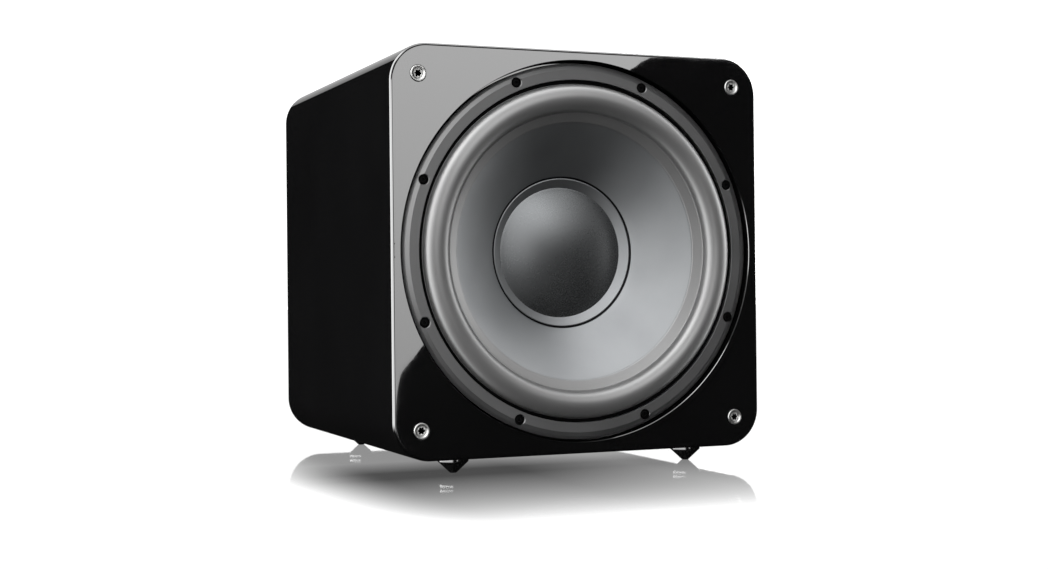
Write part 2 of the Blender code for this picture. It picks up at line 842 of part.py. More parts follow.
# Mains switch: a housing with a window, and a paddle that tilts on two stubs
rx, rz = ROCKER_AT
PIVOT = Matrix.Translation((rx, Y_BACK + 1.5 * MM, Z_MID + rz))
housing = box_part(
    "rocker_housing",
    (rx - 8.5 * MM, Y_BACK + 3.6 * MM, Z_MID + rz - 11.5 * MM),
    (rx + 8.5 * MM, Y_BACK + 5.2 * MM, Z_MID + rz + 11.5 * MM),
)
combine(
    housing,
    box(
        (rx - 6.4 * MM, Y_BACK - 14.0 * MM, Z_MID + rz - 9.4 * MM),
        (rx + 6.4 * MM, Y_BACK + 4.0 * MM, Z_MID + rz + 9.4 * MM),
    ),
    "UNION",
)
combine(
    housing,
    box(
        (rx - 5.4 * MM, Y_BACK - 9.0 * MM, Z_MID + rz - 8.3 * MM),
        (rx + 5.4 * MM, Y_BACK + 9.0 * MM, Z_MID + rz + 8.3 * MM),
    ),
)
ALONG_X = Matrix.Rotation(math.pi / 2, 4, "Y")
combine(housing, drills("stub_hole_cut", [(0, 0, -10, 10, 1.5, 1.5)], PIVOT @ ALONG_X, 12))
finished(housing, "plastic_black")

half = 5.1 * MM
paddle = flat("power_rocker", [[(-7.3, 4.6), (0.0, 3.5), (7.3, 4.6), (6.6, -3.5), (-6.6, -3.5)]], -5.1, 5.1)
paddle.data.transform(Matrix.Scale(MM, 4))
paddle.matrix_world = Matrix.Identity(4)
# The outline was drawn with its length along x and its height along local y; it is laid with the length along world z.
shape = bmesh.new()
shape.from_mesh(paddle.data)
for v in shape.verts:
    length, rise, across = v.co
    v.co = (across, rise, length)
bmesh.ops.recalc_face_normals(shape, faces=shape.faces)
shape.to_mesh(paddle.data)
shape.free()
paddle.matrix_world = PIVOT @ Matrix.Rotation(ROCKER_TILT, 4, "X")
combine(paddle, drills("stub", [(0, 0, -5.9, 5.9, 1.1, 1.1)], PIVOT @ ALONG_X, 12), "UNION")
finished(paddle, "plastic_black")

KNOB = [
    (0, 11.5), (6.0, 11.5), (6.6, 10.9), (7.4, 3.7), (3.0, 3.7), (3.0, -14.3), (0, -14.3),
]
for name, x in zip(("knob_level", "knob_lowpass", "knob_phase"), KNOB_X):
    knob = turned(name, KNOB, 16, rear(x, KNOB_Z))
    combine(
        knob,
        box(
            (x - 0.6 * MM, Y_BACK + 10.6 * MM, Z_MID + KNOB_Z + 1.5 * MM),
            (x + 0.6 * MM, Y_BACK + 13.0 * MM, Z_MID + KNOB_Z + 9.0 * MM),
        ),
    )
    finished(knob, "plastic_black")

# Two line-level sockets in one moulded block
jx, jz = RCA_AT
jack = box_part(
    "rca_block",
    (jx - 17.0 * MM, Y_BACK + 3.6 * MM, Z_MID + jz - 9.0 * MM),
    (jx + 17.0 * MM, Y_BACK + 5.0 * MM, Z_MID + jz + 9.0 * MM),
)
combine(
    jack,
    box(
        (jx - 13.2 * MM, Y_BACK - 12.0 * MM, Z_MID + jz - 5.6 * MM),
        (jx + 13.2 * MM, Y_BACK + 4.0 * MM, Z_MID + jz + 5.6 * MM),
    ),
    "UNION",
)
combine(
    jack,
    drills("barrels", [(-8.5, 0, 4.5, 11.3, 4.15, 4.15), (8.5, 0, 4.5, 11.3, 4.15, 4.15)], rear(jx, jz), 14),
    "UNION",
)
combine(
    jack,
    drills("jack_cut", [(-8.5, 0, 2.0, 15, 1.8, 1.8), (8.5, 0, 2.0, 15, 1.8, 1.8)], rear(jx, jz), 10),
)
finished(jack, "plastic_black")

finished(
    turned(
        "led_lens",
        [(0, 6.0), (1.4, 5.7), (2.4, 4.6), (3.8, 4.4), (3.8, 3.6), (2.7, 3.6), (2.7, -3.0), (0, -3.0)],
        12,
        rear(*LED_AT),
    ),
    "lens_blue",
)

socket = drills("cross_cut", [(0, 0, 4.6, 8, 1.3, 1.3)], Matrix.Identity(4), 6)
pan = turned(
    "amp_screw_1",
    [(0, 5.6), (2.0, 5.6), (3.2, 4.6), (3.2, 3.6), (1.35, 3.6), (1.35, -11.0), (0, -11.0)],
    8,
    Matrix.Identity(4),
)
combine(pan, socket)
finished(pan, "black_steel")
pan.matrix_world = rear(*AMP_SCREWS[0])
for k, at in enumerate(AMP_SCREWS[1:], 2):
    copy = bpy.data.objects.new(f"amp_screw_{k}", pan.data)
    copy.matrix_world = rear(*at)
    parts.objects.link(copy)

# ---------------------------------------------------------------- wires from the amplifier to the driver
for tag, side, colour in (("pos", 1, "insulation_red"), ("neg", -1, "insulation_black")):
    z = 0.8 + side * 7.0
    route = [
        (101.6, 84.6, z), (110.0, 93.0, z + 2), (110.0, 125.0, z + 13), (97.0, 163.0, z + 28),
        (78.0, 205.0, z + 32), (64.0, 248.0, z + 27), (62.0, 270.6, z + 26),
    ]
    wire = tube(
        "speaker_wire_" + tag,
        smooth_route([(x * MM, Y_FRONT + d * MM, Z_MID + h * MM) for x, d, h in route], 2),
        1.6 * MM,
    )
    finished(wire, colour)
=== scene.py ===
import math

import bmesh
import bpy
import numpy as np
from mathutils import Matrix, Vector


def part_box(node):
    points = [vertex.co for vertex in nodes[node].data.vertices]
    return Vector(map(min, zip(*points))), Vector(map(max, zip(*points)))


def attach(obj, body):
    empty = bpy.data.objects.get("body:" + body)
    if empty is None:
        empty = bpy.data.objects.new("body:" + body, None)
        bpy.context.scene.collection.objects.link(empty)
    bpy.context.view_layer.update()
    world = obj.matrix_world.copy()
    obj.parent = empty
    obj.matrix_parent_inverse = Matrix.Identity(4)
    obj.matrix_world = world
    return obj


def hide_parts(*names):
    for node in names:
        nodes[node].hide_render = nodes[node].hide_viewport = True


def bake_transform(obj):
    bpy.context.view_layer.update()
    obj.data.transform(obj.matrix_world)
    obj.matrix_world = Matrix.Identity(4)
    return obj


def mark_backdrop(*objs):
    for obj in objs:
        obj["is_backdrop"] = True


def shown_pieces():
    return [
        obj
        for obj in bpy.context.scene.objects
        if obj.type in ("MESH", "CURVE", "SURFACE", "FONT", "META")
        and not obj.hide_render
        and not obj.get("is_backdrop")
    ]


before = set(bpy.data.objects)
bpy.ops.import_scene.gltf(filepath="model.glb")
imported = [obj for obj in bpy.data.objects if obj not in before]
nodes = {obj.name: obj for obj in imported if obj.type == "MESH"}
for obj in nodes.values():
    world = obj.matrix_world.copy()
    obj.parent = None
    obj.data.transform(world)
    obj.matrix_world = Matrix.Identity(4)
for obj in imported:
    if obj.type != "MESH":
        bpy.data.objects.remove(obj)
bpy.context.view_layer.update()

MM = 0.001
scene = bpy.context.scene

# ---------------------------------------------------------------- places, read from the CAD nodes
baffle_low, baffle_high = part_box("front_baffle")
shell_low, shell_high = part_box("cabinet_shell")
ring_low, ring_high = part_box("trim_ring")
plate_low, plate_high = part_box("amp_plate")
Y_FRONT, Y_BACK = baffle_low.y, shell_high.y
WIDTH, HEIGHT = baffle_high.x - baffle_low.x, baffle_high.z - baffle_low.z
Z_LOW = baffle_low.z
Z_MID = (baffle_low.z + baffle_high.z) / 2
Z_DRIVER = (ring_low.z + ring_high.z) / 2
CORNER_R, WALL, BAFFLE_T, REAR_T, EDGE_R = 31.3 * MM, 18.0 * MM, 21.0 * MM, 18.0 * MM, 2.3 * MM


def front(x=0.0, z=None):
    """Local +Z points out of the front face."""
    z = Z_DRIVER if z is None else z
    return Matrix.Translation((x, Y_FRONT, z)) @ Matrix.Rotation(math.pi / 2, 4, "X")


def rear(x=0.0, z=0.0):
    """Local +Z points out of the rear face, z is from the cabinet's middle."""
    return Matrix.Translation((x, Y_BACK, Z_MID + z)) @ Matrix.Rotation(-math.pi / 2, 4, "X")


# ---------------------------------------------------------------- camera
def make_camera():
    az, el, roll = (math.radians(v) for v in (-22.440, -0.2296, -0.5807))
    back = Vector((math.sin(az) * math.cos(el), -math.cos(az) * math.cos(el), math.sin(el)))
    right = Vector((math.cos(az), math.sin(az), 0.0))
    up = back.cross(right)
    r2 = math.cos(roll) * right + math.sin(roll) * up
    u2 = -math.sin(roll) * right + math.cos(roll) * up
    data = bpy.data.cameras.new("camera")
    data.sensor_fit = "HORIZONTAL"
    data.sensor_width = 36.0
    data.lens = 1561.234 / 1048.0 * 36.0
    data.clip_start, data.clip_end = 0.02, 100.0
    camera = bpy.data.objects.new("camera", data)
    turn = Matrix((r2, u2, back)).transposed().to_4x4()
    camera.matrix_world = Matrix.Translation((-0.5367, -1.3451, 0.14715)) @ turn
    scene.collection.objects.link(camera)
    scene.camera = camera


make_camera()


# ---------------------------------------------------------------- material helpers
class Look:
    """A Principled material with a few procedural building blocks."""

    def __init__(self, name, colour, roughness, metallic=0.0, **constants):
        self.material = bpy.data.materials.new(name)
        self.material.use_nodes = True
        self.tree = self.material.node_tree
        self.shader = self.tree.nodes["Principled BSDF"]
        self.set("Base Color", (*colour, 1.0))
        self.set("Roughness", roughness)
        self.set("Metallic", metallic)
        for key, value in constants.items():
            self.set(key.replace("_", " "), value)
        self.coords = self.new("ShaderNodeTexCoord").outputs["Object"]
        self.normal = None
        self.material.diffuse_color = (*colour, 1.0)

    def new(self, kind, **settings):
        node = self.tree.nodes.new(kind)
        for key, value in settings.items():
            setattr(node, key, value)
        return node

    def set(self, socket, value):
        self.shader.inputs[socket].default_value = value

    def link(self, a, b):
        self.tree.links.new(a, b)

    def math(self, operation, a, b=None, clamp=False):
        node = self.new("ShaderNodeMath", operation=operation, use_clamp=clamp)
        for socket, value in zip(node.inputs, (a, b)):
            if value is None:
                continue
            if isinstance(value, (int, float)):
                socket.default_value = value
            else:
                self.link(value, socket)
        return node.outputs[0]

    def span(self, value, from_low, from_high, to_low, to_high, smooth=False):
        node = self.new("ShaderNodeMapRange")
        node.interpolation_type = "SMOOTHSTEP" if smooth else "LINEAR"
        self.link(value, node.inputs["Value"])
        for key, number in zip(("From Min", "From Max", "To Min", "To Max"), (from_low, from_high, to_low, to_high)):
            node.inputs[key].default_value = number
        return node.outputs["Result"]

    def noise(self, scale, detail=3.0, rough=0.5, stretch=None):
        node = self.new("ShaderNodeTexNoise")
        node.inputs["Scale"].default_value = scale
        node.inputs["Detail"].default_value = detail
        node.inputs["Roughness"].default_value = rough
        source = self.coords
        if stretch:
            mapping = self.new("ShaderNodeMapping")
            mapping.inputs["Scale"].default_value = stretch
            self.link(source, mapping.inputs["Vector"])
            source = mapping.outputs["Vector"]
        self.link(source, node.inputs["Vector"])
        return node.outputs["Fac"]

    def axes(self):
        node = self.new("ShaderNodeSeparateXYZ")
        self.link(self.coords, node.inputs[0])
        return node.outputs

    def radius(self, a=0, b=1):
        """Distance from the piece's own axis, in metres."""
        parts = self.axes()
        return self.math("SQRT", self.math("ADD", self.math("MULTIPLY", parts[a], parts[a]), self.math("MULTIPLY", parts[b], parts[b])))

    def blend(self, factor, a, b):
        """A colour between a and b, each a colour or a socket."""
        node = self.new("ShaderNodeMix", data_type="RGBA")
        self.link(factor, node.inputs[0])
        for socket, value in ((node.inputs[6], a), (node.inputs[7], b)):
            if isinstance(value, tuple):
                socket.default_value = (*value, 1.0)
            else:
                self.link(value, socket)
        return node.outputs[2]

    def colour(self, source):
        self.link(source, self.shader.inputs["Base Color"])
        return self

    def roughness(self, source):
        self.link(source, self.shader.inputs["Roughness"])
        return self

    def bump(self, height, strength, distance):
        node = self.new("ShaderNodeBump")
        node.inputs["Strength"].default_value = strength
        node.inputs["Distance"].default_value = distance
        self.link(height, node.inputs["Height"])
        if self.normal is not None:
            self.link(self.normal, node.inputs["Normal"])
        self.normal = node.outputs["Normal"]
        self.link(self.normal, self.shader.inputs["Normal"])
        return self


def grained(name, dark, light, rough, grain, depth=0.00002, patch=14.0, metallic=0.0, strength=0.35, **constants):
    """A plain moulded, painted or cast finish: slow colour variation, fine grain, and uneven gloss."""
    look = Look(name, dark, rough[0], metallic, **constants)
    slow = look.noise(patch, 4.0, 0.55)
    fine = look.noise(grain, 2.0, 0.6)
    look.colour(look.blend(look.span(slow, 0.3, 0.7, 0.0, 1.0), dark, light))
    mixed = look.math("ADD", look.math("MULTIPLY", slow, 0.6), look.math("MULTIPLY", fine, 0.4))
    look.roughness(look.span(mixed, 0.3, 0.7, *rough))
    look.bump(fine, strength, depth)
    return look


def lacquer():
    look = Look(
        "piano_lacquer", (0.0018, 0.0018, 0.0019), 0.02, 0.0,
        IOR=1.55, Coat_Weight=1.0, Coat_Roughness=0.008, Coat_IOR=1.5,
    )
    slow = look.noise(9.0, 3.0)
    haze = look.noise(55.0, 5.0, 0.6)
    look.colour(look.blend(look.span(slow, 0.35, 0.65, 0.0, 1.0), (0.0015, 0.0015, 0.0016), (0.0021, 0.0021, 0.0022)))
    look.roughness(look.span(haze, 0.35, 0.75, 0.012, 0.04))
    look.bump(look.noise(170.0, 1.0, 0.4), 0.05, 0.00004)
    return look.material


def ring_finish():
    look = Look("ring_satin", (0.02, 0.02, 0.0205), 0.36, 0.0, IOR=1.6)
    fine = look.noise(2600.0, 2.0, 0.6)
    slow = look.noise(22.0, 3.0)
    look.colour(look.blend(look.span(slow, 0.3, 0.7, 0.0, 1.0), (0.016, 0.016, 0.0163), (0.021, 0.021, 0.0213)))
    look.roughness(look.span(look.math("ADD", look.math("MULTIPLY", slow, 0.5), look.math("MULTIPLY", fine, 0.5)), 0.3, 0.7, 0.32, 0.4))
    look.bump(fine, 0.25, 0.00002)
    return look.material


def surround_finish():
    look = Look("surround_rubber", (0.12, 0.12, 0.12), 0.32, 0.7, IOR=1.6)
    fine = look.noise(1500.0, 3.0, 0.6)
    slow = look.noise(16.0, 4.0, 0.55)
    dust = look.noise(420.0, 5.0, 0.7)
    base = look.blend(look.span(slow, 0.3, 0.7, 0.0, 1.0), (0.140, 0.140, 0.1400), (0.156, 0.156, 0.1559))
    whole = look.blend(look.span(dust, 0.62, 0.85, 0.0, 0.35), base, (0.184, 0.183, 0.180))
    flange = look.span(look.radius(), 0.1141, 0.1150, 1.0, 0.0, True)
    look.colour(look.blend(flange, whole, (0.21, 0.211, 0.21)))
    look.roughness(look.span(look.math("ADD", look.math("MULTIPLY", slow, 0.6), look.math("MULTIPLY", fine, 0.4)), 0.3, 0.7, 0.34, 0.4))
    look.bump(fine, 0.2, 0.00002)
    return look.material


def cone_finish(name, dark, light, rough, glue_and_shade=None, rim=None, grain=0.14):
    """A metallic grey coating over pressed fibre. A black glue line runs round the cap's edge, its darkness partly
    painted shade in the groove there, and the cap's rim has its own colour and roughness.
    """
    look = Look(name, dark, rough[0], 0.85, IOR=1.5)
    slow = look.noise(13.0, 4.0, 0.5)
    fibre = look.noise(700.0, 4.0, 0.65)
    radial = look.radius()
    rings = look.math("SINE", look.math("MULTIPLY", radial, 2 * math.pi / 0.0011))
    base = look.blend(look.span(slow, 0.3, 0.7, 0.0, 1.0), dark, light)
    if glue_and_shade:
        # The black band in the groove round the cap: glue, and painted shade of the groove.
        near = look.math("ABSOLUTE", look.math("SUBTRACT", radial, glue_and_shade * MM))
        glue_shade_band = look.span(near, 0.0006, 0.001, 1.0, 0.0, smooth=True)
        base = look.blend(glue_shade_band, base, (0.004, 0.004, 0.005))
    patchy = look.math("ADD", look.math("MULTIPLY", slow, 0.5), look.math("MULTIPLY", fibre, 0.5))
    dull = look.span(patchy, 0.3, 0.7, *rough)
    if rim:
        start, tone, extra = rim
        outside = look.span(radial, (start - 0.2) * MM, (start + 0.2) * MM, 0.0, 1.0)
        base = look.blend(outside, base, tone)
        dull = look.math("ADD", dull, look.math("MULTIPLY", outside, extra))
    look.colour(base)
    look.roughness(dull)
    look.bump(fibre, grain, 0.00003)
    look.bump(rings, 0.05, 0.00001)
    return look.material


def turned_metal(name, dark, light, rough, pitch=0.00025):
    """Lathe-turned and plated metal: fine circular tool marks about the piece's own axis."""
    look = Look(name, dark, rough[0], 1.0)
    radial = look.radius()
    marks = look.math("SINE", look.math("MULTIPLY", radial, 2 * math.pi / pitch))
    slow = look.noise(180.0, 3.0)
    look.colour(look.blend(look.span(slow, 0.3, 0.7, 0.0, 1.0), dark, light))
    look.roughness(look.span(look.noise(900.0, 2.0), 0.3, 0.7, *rough))
    look.bump(marks, 0.12, 0.000012)
    return look.material


def socket_core():
    """The socket's plated face, with painted shade turning it black down its hole."""
    look = Look("socket_core", (0.22, 0.22, 0.215), 0.45, 0.9)
    depth = look.axes()[2]
    slow = look.noise(300.0, 3.0)
    face = look.blend(look.span(slow, 0.3, 0.7, 0.0, 1.0), (0.3, 0.3, 0.295), (0.38, 0.38, 0.37))
    # Painted shade: below the face the colour goes black, down the hole.
    look.colour(look.blend(look.span(depth, -0.0012, -0.0003, 1.0, 0.0), face, (0.002, 0.002, 0.002)))
    look.roughness(look.span(look.noise(900.0, 2.0), 0.3, 0.7, 0.4, 0.55))
    look.bump(look.noise(1200.0, 2.0), 0.2, 0.00002)
    return look.material


def board_finish():
    """Raw medium-density fibreboard."""
    look = Look("raw_board", (0.32, 0.22, 0.14), 0.85)
    fibre = look.noise(380.0, 6.0, 0.7, (1.0, 3.0, 1.0))
    slow = look.noise(12.0, 3.0)
    base = look.blend(look.span(slow, 0.3, 0.7, 0.0, 1.0), (0.27, 0.18, 0.11), (0.37, 0.265, 0.17))
    look.colour(look.blend(look.span(fibre, 0.55, 0.75, 0.0, 0.6), base, (0.18, 0.11, 0.06)))
    look.roughness(look.span(fibre, 0.3, 0.7, 0.78, 0.95))
    look.bump(fibre, 0.5, 0.0002)
    return look.material


def wadding_finish():
    look = Look("wadding", (0.6, 0.6, 0.57), 0.95, 0.0, Sheen_Weight=0.4, Sheen_Roughness=0.5)
    fluff = look.noise(140.0, 6.0, 0.75)
    look.colour(look.blend(look.span(fluff, 0.35, 0.7, 0.0, 1.0), (0.4, 0.4, 0.38), (0.7, 0.7, 0.67)))
    look.roughness(look.span(fluff, 0.3, 0.7, 0.88, 1.0))
    look.bump(fluff, 0.8, 0.002)
    return look.material


def spider_finish():
    """Resin-treated woven cloth."""
    look = Look("spider_cloth", (0.55, 0.33, 0.1), 0.85, 0.0, Sheen_Weight=0.25, Sheen_Roughness=0.5)
    parts = look.axes()
    weave = look.math(
        "MULTIPLY",
        look.math("SINE", look.math("MULTIPLY", parts[0], 2 * math.pi / 0.0012)),
        look.math("SINE", look.math("MULTIPLY", parts[1], 2 * math.pi / 0.0012)),
    )
    slow = look.noise(30.0, 3.0)
    base = look.blend(look.span(slow, 0.3, 0.7, 0.0, 1.0), (0.5, 0.29, 0.08), (0.6, 0.37, 0.13))
    look.colour(look.blend(look.span(weave, -1.0, 0.2, 0.6, 0.0), base, (0.25, 0.13, 0.03)))
    look.roughness(look.span(weave, -1.0, 1.0, 0.95, 0.75))
    look.bump(weave, 0.6, 0.0002)
    return look.material


def braid_finish(name, dark, light, pitch=0.0011):
    """Twisted or braided strands along a lead."""
    look = Look(name, dark, 0.4, 0.8)
    parts = look.axes()
    turn = look.math("ADD", look.math("ADD", parts[0], parts[1]), look.math("MULTIPLY", parts[2], 1.7))
    strands = look.math("SINE", look.math("MULTIPLY", turn, 2 * math.pi / pitch))
    look.colour(look.blend(look.span(strands, -1.0, 1.0, 0.0, 1.0), dark, light))
    look.roughness(look.span(look.noise(600.0, 2.0), 0.3, 0.7, 0.32, 0.5))
    look.bump(strands, 0.6, 0.0002)
    return look.material


def winding_finish(name, dark, light, pitch, axis):
    """Enamelled wire in close turns along one axis of the row frame."""
    look = Look(name, dark, 0.3, 1.0, Coat_Weight=0.4, Coat_Roughness=0.15)
    turns = look.math("SINE", look.math("MULTIPLY", look.axes()[axis], 2 * math.pi / pitch))
    look.colour(look.blend(look.span(turns, -1.0, 0.4, 0.0, 1.0), dark, light))
    look.roughness(look.span(look.noise(300.0, 3.0), 0.3, 0.7, 0.24, 0.4))
    look.bump(turns, 0.7, 0.0002)
    return look.material


def circuit_finish():
    """Solder mask with copper areas showing through as paler green shapes."""
    look = Look("circuit_board", (0.012, 0.12, 0.045), 0.35, 0.0, Coat_Weight=0.5, Coat_Roughness=0.12)
    cells = look.new("ShaderNodeTexVoronoi", distance="CHEBYCHEV")
    cells.inputs["Scale"].default_value = 130.0
    look.link(look.coords, cells.inputs["Vector"])
    pattern = look.span(cells.outputs["Distance"], 0.22, 0.26, 1.0, 0.0)
    look.colour(look.blend(pattern, (0.01, 0.1, 0.035), (0.03, 0.2, 0.08)))
    look.roughness(look.span(look.noise(200.0, 3.0), 0.3, 0.7, 0.3, 0.5))
    look.bump(pattern, 0.3, 0.0001)
    return look.material


def lens_finish():
    look = Look("lens", (0.35, 0.5, 0.85), 0.12, 0.0, IOR=1.49, Coat_Weight=0.6, Coat_Roughness=0.05, Transmission_Weight=0.35)
    depth = look.radius()
    look.colour(look.blend(look.span(depth, 0.0, 0.0034, 0.0, 1.0, True), (0.5, 0.68, 1.0), (0.1, 0.2, 0.55)))
    look.roughness(look.span(look.noise(500.0, 2.0), 0.3, 0.7, 0.08, 0.18))
    look.bump(look.noise(900.0, 1.0), 0.05, 0.00002)
    return look.material


LOOKS = {
    "lacquer": lacquer(),
    "ring": ring_finish(),
    "surround": surround_finish(),
    "cone": cone_finish("cone_coating", (0.152, 0.157, 0.162), (0.186, 0.192, 0.196), (0.33, 0.43), glue_and_shade=63.6),
    "cap": cone_finish("cap_coating", (0.1, 0.104, 0.107), (0.124, 0.128, 0.131), (0.25, 0.3), rim=(55.3, (0.175, 0.180, 0.185), 0.12), grain=0.012),
    "plated": turned_metal("plated_steel", (0.24, 0.24, 0.235), (0.31, 0.31, 0.305), (0.32, 0.42)),
    "socket_core": socket_core(),
    "nickel": turned_metal("bright_nickel", (0.6, 0.57, 0.52), (0.72, 0.69, 0.63), (0.14, 0.26)),
    # Near-black and barely reflecting: painted shadow for the gap round the surround.
    "painted_gap_shadow": grained("black_gap_shadow", (0.0012, 0.0012, 0.0012), (0.0022, 0.0022, 0.0022), (0.8, 0.95), 900.0, 0.00004, Specular_IOR_Level=0.02).material,
    "insert": grained("socket_rubber", (0.008, 0.008, 0.008), (0.014, 0.014, 0.014), (0.5, 0.65), 1800.0, 0.00003).material,
    "screw": grained("black_oxide", (0.0008, 0.0008, 0.0008), (0.002, 0.002, 0.002), (0.36, 0.5), 1500.0, 0.00002, 200.0, 0.0, 0.3, Specular_IOR_Level=0.04).material,
    "basket": grained("cast_painted", (0.012, 0.012, 0.0125), (0.02, 0.02, 0.021), (0.42, 0.6), 700.0, 0.00012, 30.0, 0.2, 0.6).material,
    "foam": grained("gasket_foam", (0.01, 0.01, 0.01), (0.022, 0.022, 0.022), (0.85, 0.97), 900.0, 0.0003, 60.0, 0.0, 0.9).material,
    "foot": grained("foot_gloss", (0.0035, 0.0035, 0.0036), (0.006, 0.006, 0.006), (0.07, 0.14), 350.0, 0.00001, 20.0, 0.0, 0.2, Coat_Weight=0.6, Coat_Roughness=0.03).material,
    "plastic": grained("moulded_plastic", (0.011, 0.011, 0.0115), (0.018, 0.018, 0.0185), (0.36, 0.52), 1400.0, 0.00004).material,
    "plate": grained("powder_coat", (0.014, 0.014, 0.0145), (0.022, 0.022, 0.0225), (0.42, 0.58), 950.0, 0.00012, 18.0, 0.0, 0.55).material,
    "knob": grained("knob_soft_touch", (0.012, 0.012, 0.0125), (0.02, 0.02, 0.0205), (0.42, 0.56), 1700.0, 0.00003).material,
    "print": grained("pale_print", (0.62, 0.63, 0.63), (0.72, 0.72, 0.71), (0.45, 0.6), 1200.0, 0.00002).material,
    "red_ring": grained("red_insulator", (0.42, 0.012, 0.012), (0.52, 0.02, 0.018), (0.3, 0.45), 1000.0, 0.00003).material,
    "white_ring": grained("white_insulator", (0.62, 0.62, 0.6), (0.72, 0.72, 0.7), (0.3, 0.45), 1000.0, 0.00003).material,
    "zinc": grained("zinc_steel", (0.42, 0.42, 0.4), (0.6, 0.6, 0.57), (0.28, 0.45), 260.0, 0.00005, 45.0, 1.0, 0.3).material,
    "former": grained("rolled_aluminium", (0.5, 0.5, 0.5), (0.64, 0.64, 0.65), (0.26, 0.4), 240.0, 0.00003, 60.0, 1.0, 0.25).material,
    "ferrite": grained("ferrite", (0.018, 0.018, 0.018), (0.038, 0.037, 0.036), (0.55, 0.8), 500.0, 0.0002, 40.0, 0.1, 0.6).material,
    "board": board_finish(),
    "wadding": wadding_finish(),
    "spider": spider_finish(),
    "tinsel": braid_finish("tinsel_braid", (0.4, 0.2, 0.1), (0.75, 0.5, 0.32)),
    "winding": winding_finish("enamelled_winding", (0.3, 0.1, 0.04), (0.72, 0.34, 0.18), 0.0005, 1),
    "toroid": winding_finish("toroid_wrap", (0.35, 0.2, 0.04), (0.62, 0.42, 0.12), 0.002, 0),
    "circuit": circuit_finish(),
    "wire_red": grained("insulation_red", (0.38, 0.012, 0.012), (0.5, 0.02, 0.018), (0.35, 0.5), 900.0, 0.00003).material,
    "wire_black": grained("insulation_black", (0.012, 0.012, 0.012), (0.02, 0.02, 0.02), (0.35, 0.5), 900.0, 0.00003).material,
    "lens": lens_finish(),
}


def wear(obj, look):
    obj.data.materials.clear()
    obj.data.materials.append(LOOKS[look])
    return obj


# ---------------------------------------------------------------- mesh helpers
def eased(points, cyclic=True, steps=4):
    """A profile of (radius, height, corner radius), with each corner rounded by that radius."""
    found, count = [], len(points)
    for i, point in enumerate(points):
        size = point[2] if len(point) > 2 else 0.0
        if size <= 0 or (not cyclic and i in (0, count - 1)):
            found.append((point[0], point[1]))
            continue
        before, here, after = (np.array(points[k % count][:2], float) for k in (i - 1, i, i + 1))
        u, v = before - here, after - here
        reach = 0.49 * min(np.linalg.norm(u), np.linalg.norm(v))
        u, v = u / np.linalg.norm(u), v / np.linalg.norm(v)
        half = math.acos(max(-1.0, min(1.0, float(u @ v)))) / 2
        if half > math.radians(88.5):
            found.append((point[0], point[1]))
            continue
        cut = min(size / math.tan(half), reach)
        centre = here + (u + v) / np.linalg.norm(u + v) * cut / math.cos(half)
        start, end, sweep = here + u * cut - centre, here + v * cut - centre, math.pi - 2 * half
        for k in range(steps + 1):
            a, b = math.sin((1 - k / steps) * sweep) / math.sin(sweep), math.sin(k / steps * sweep) / math.sin(sweep)
            spot = centre + start * a + end * b
            found.append((float(spot[0]), float(spot[1])))
    return found


def polar(name, rings, steps, place):
    """A closed body round local Z from (radius, height) in millimetres. A radius may be a function of the angle."""
    points, rows, faces = [], [], []
    for radius, height in rings:
        first = len(points)
        if not callable(radius) and radius < 1e-6:
            points.append((0.0, 0.0, height * MM))
            rows.append([first])
            continue
        for i in range(steps):
            angle = 2 * math.pi * i / steps
            r = (radius(angle) if callable(radius) else radius) * MM
            points.append((r * math.cos(angle), r * math.sin(angle), height * MM))
        rows.append(list(range(first, first + steps)))
    pairs = list(zip(rows, rows[1:]))
    if len(rows[0]) > 1 and len(rows[-1]) > 1:
        pairs.append((rows[-1], rows[0]))
    for a, b in pairs:
        for i in range(steps):
            j = (i + 1) % steps
            if len(a) == 1:
                faces.append((a[0], b[i], b[j]))
            elif len(b) == 1:
                faces.append((a[i], a[j], b[0]))
            else:
                faces.append((a[i], a[j], b[j], b[i]))
    mesh = bpy.data.meshes.new(name)
    mesh.from_pydata(points, [], faces)
    tidy(mesh)
    obj = bpy.data.objects.new(name, mesh)
    obj.matrix_world = place
    scene.collection.objects.link(obj)
    return obj


def tidy(mesh):
    shape = bmesh.new()
    shape.from_mesh(mesh)
    bmesh.ops.remove_doubles(shape, verts=shape.verts, dist=1e-7)
    bmesh.ops.recalc_face_normals(shape, faces=shape.faces)
    shape.to_mesh(mesh)
    shape.free()


def smooth(obj, degrees=32.0, weighted=False):
    obj.data.shade_smooth()
    obj.data.set_sharp_from_angle(angle=math.radians(degrees))
    if weighted:
        step = obj.modifiers.new("face_weighted", "WEIGHTED_NORMAL")
        step.keep_sharp = True
        step.weight = 60
    return obj


def carve(obj, cutters, operation="DIFFERENCE"):
    """Cuts or joins other meshes, and keeps only the result."""
    for other in cutters:
        step = obj.modifiers.new(operation.title(), "BOOLEAN")
        step.operation, step.solver, step.object = operation, "EXACT", other
    bpy.context.view_layer.update()
    made = bpy.data.meshes.new_from_object(obj.evaluated_get(bpy.context.evaluated_depsgraph_get()))
    obj.modifiers.clear()
    obj.data = made
    made.name = obj.name
    for other in cutters:
        bpy.data.objects.remove(other)
    return obj


def rounded(w, h, r, steps):
    """A rectangle with round corners, as (x, z) points about the origin, anticlockwise."""
    found = []
    for k, (sx, sz) in enumerate(((1, 1), (-1, 1), (-1, -1), (1, -1))):
        for i in range(steps + 1):
            angle = math.pi / 2 * (k + i / steps)
            found.append((sx * (w / 2 - r) + r * math.cos(angle), sz * (h / 2 - r) + r * math.sin(angle)))
    return found


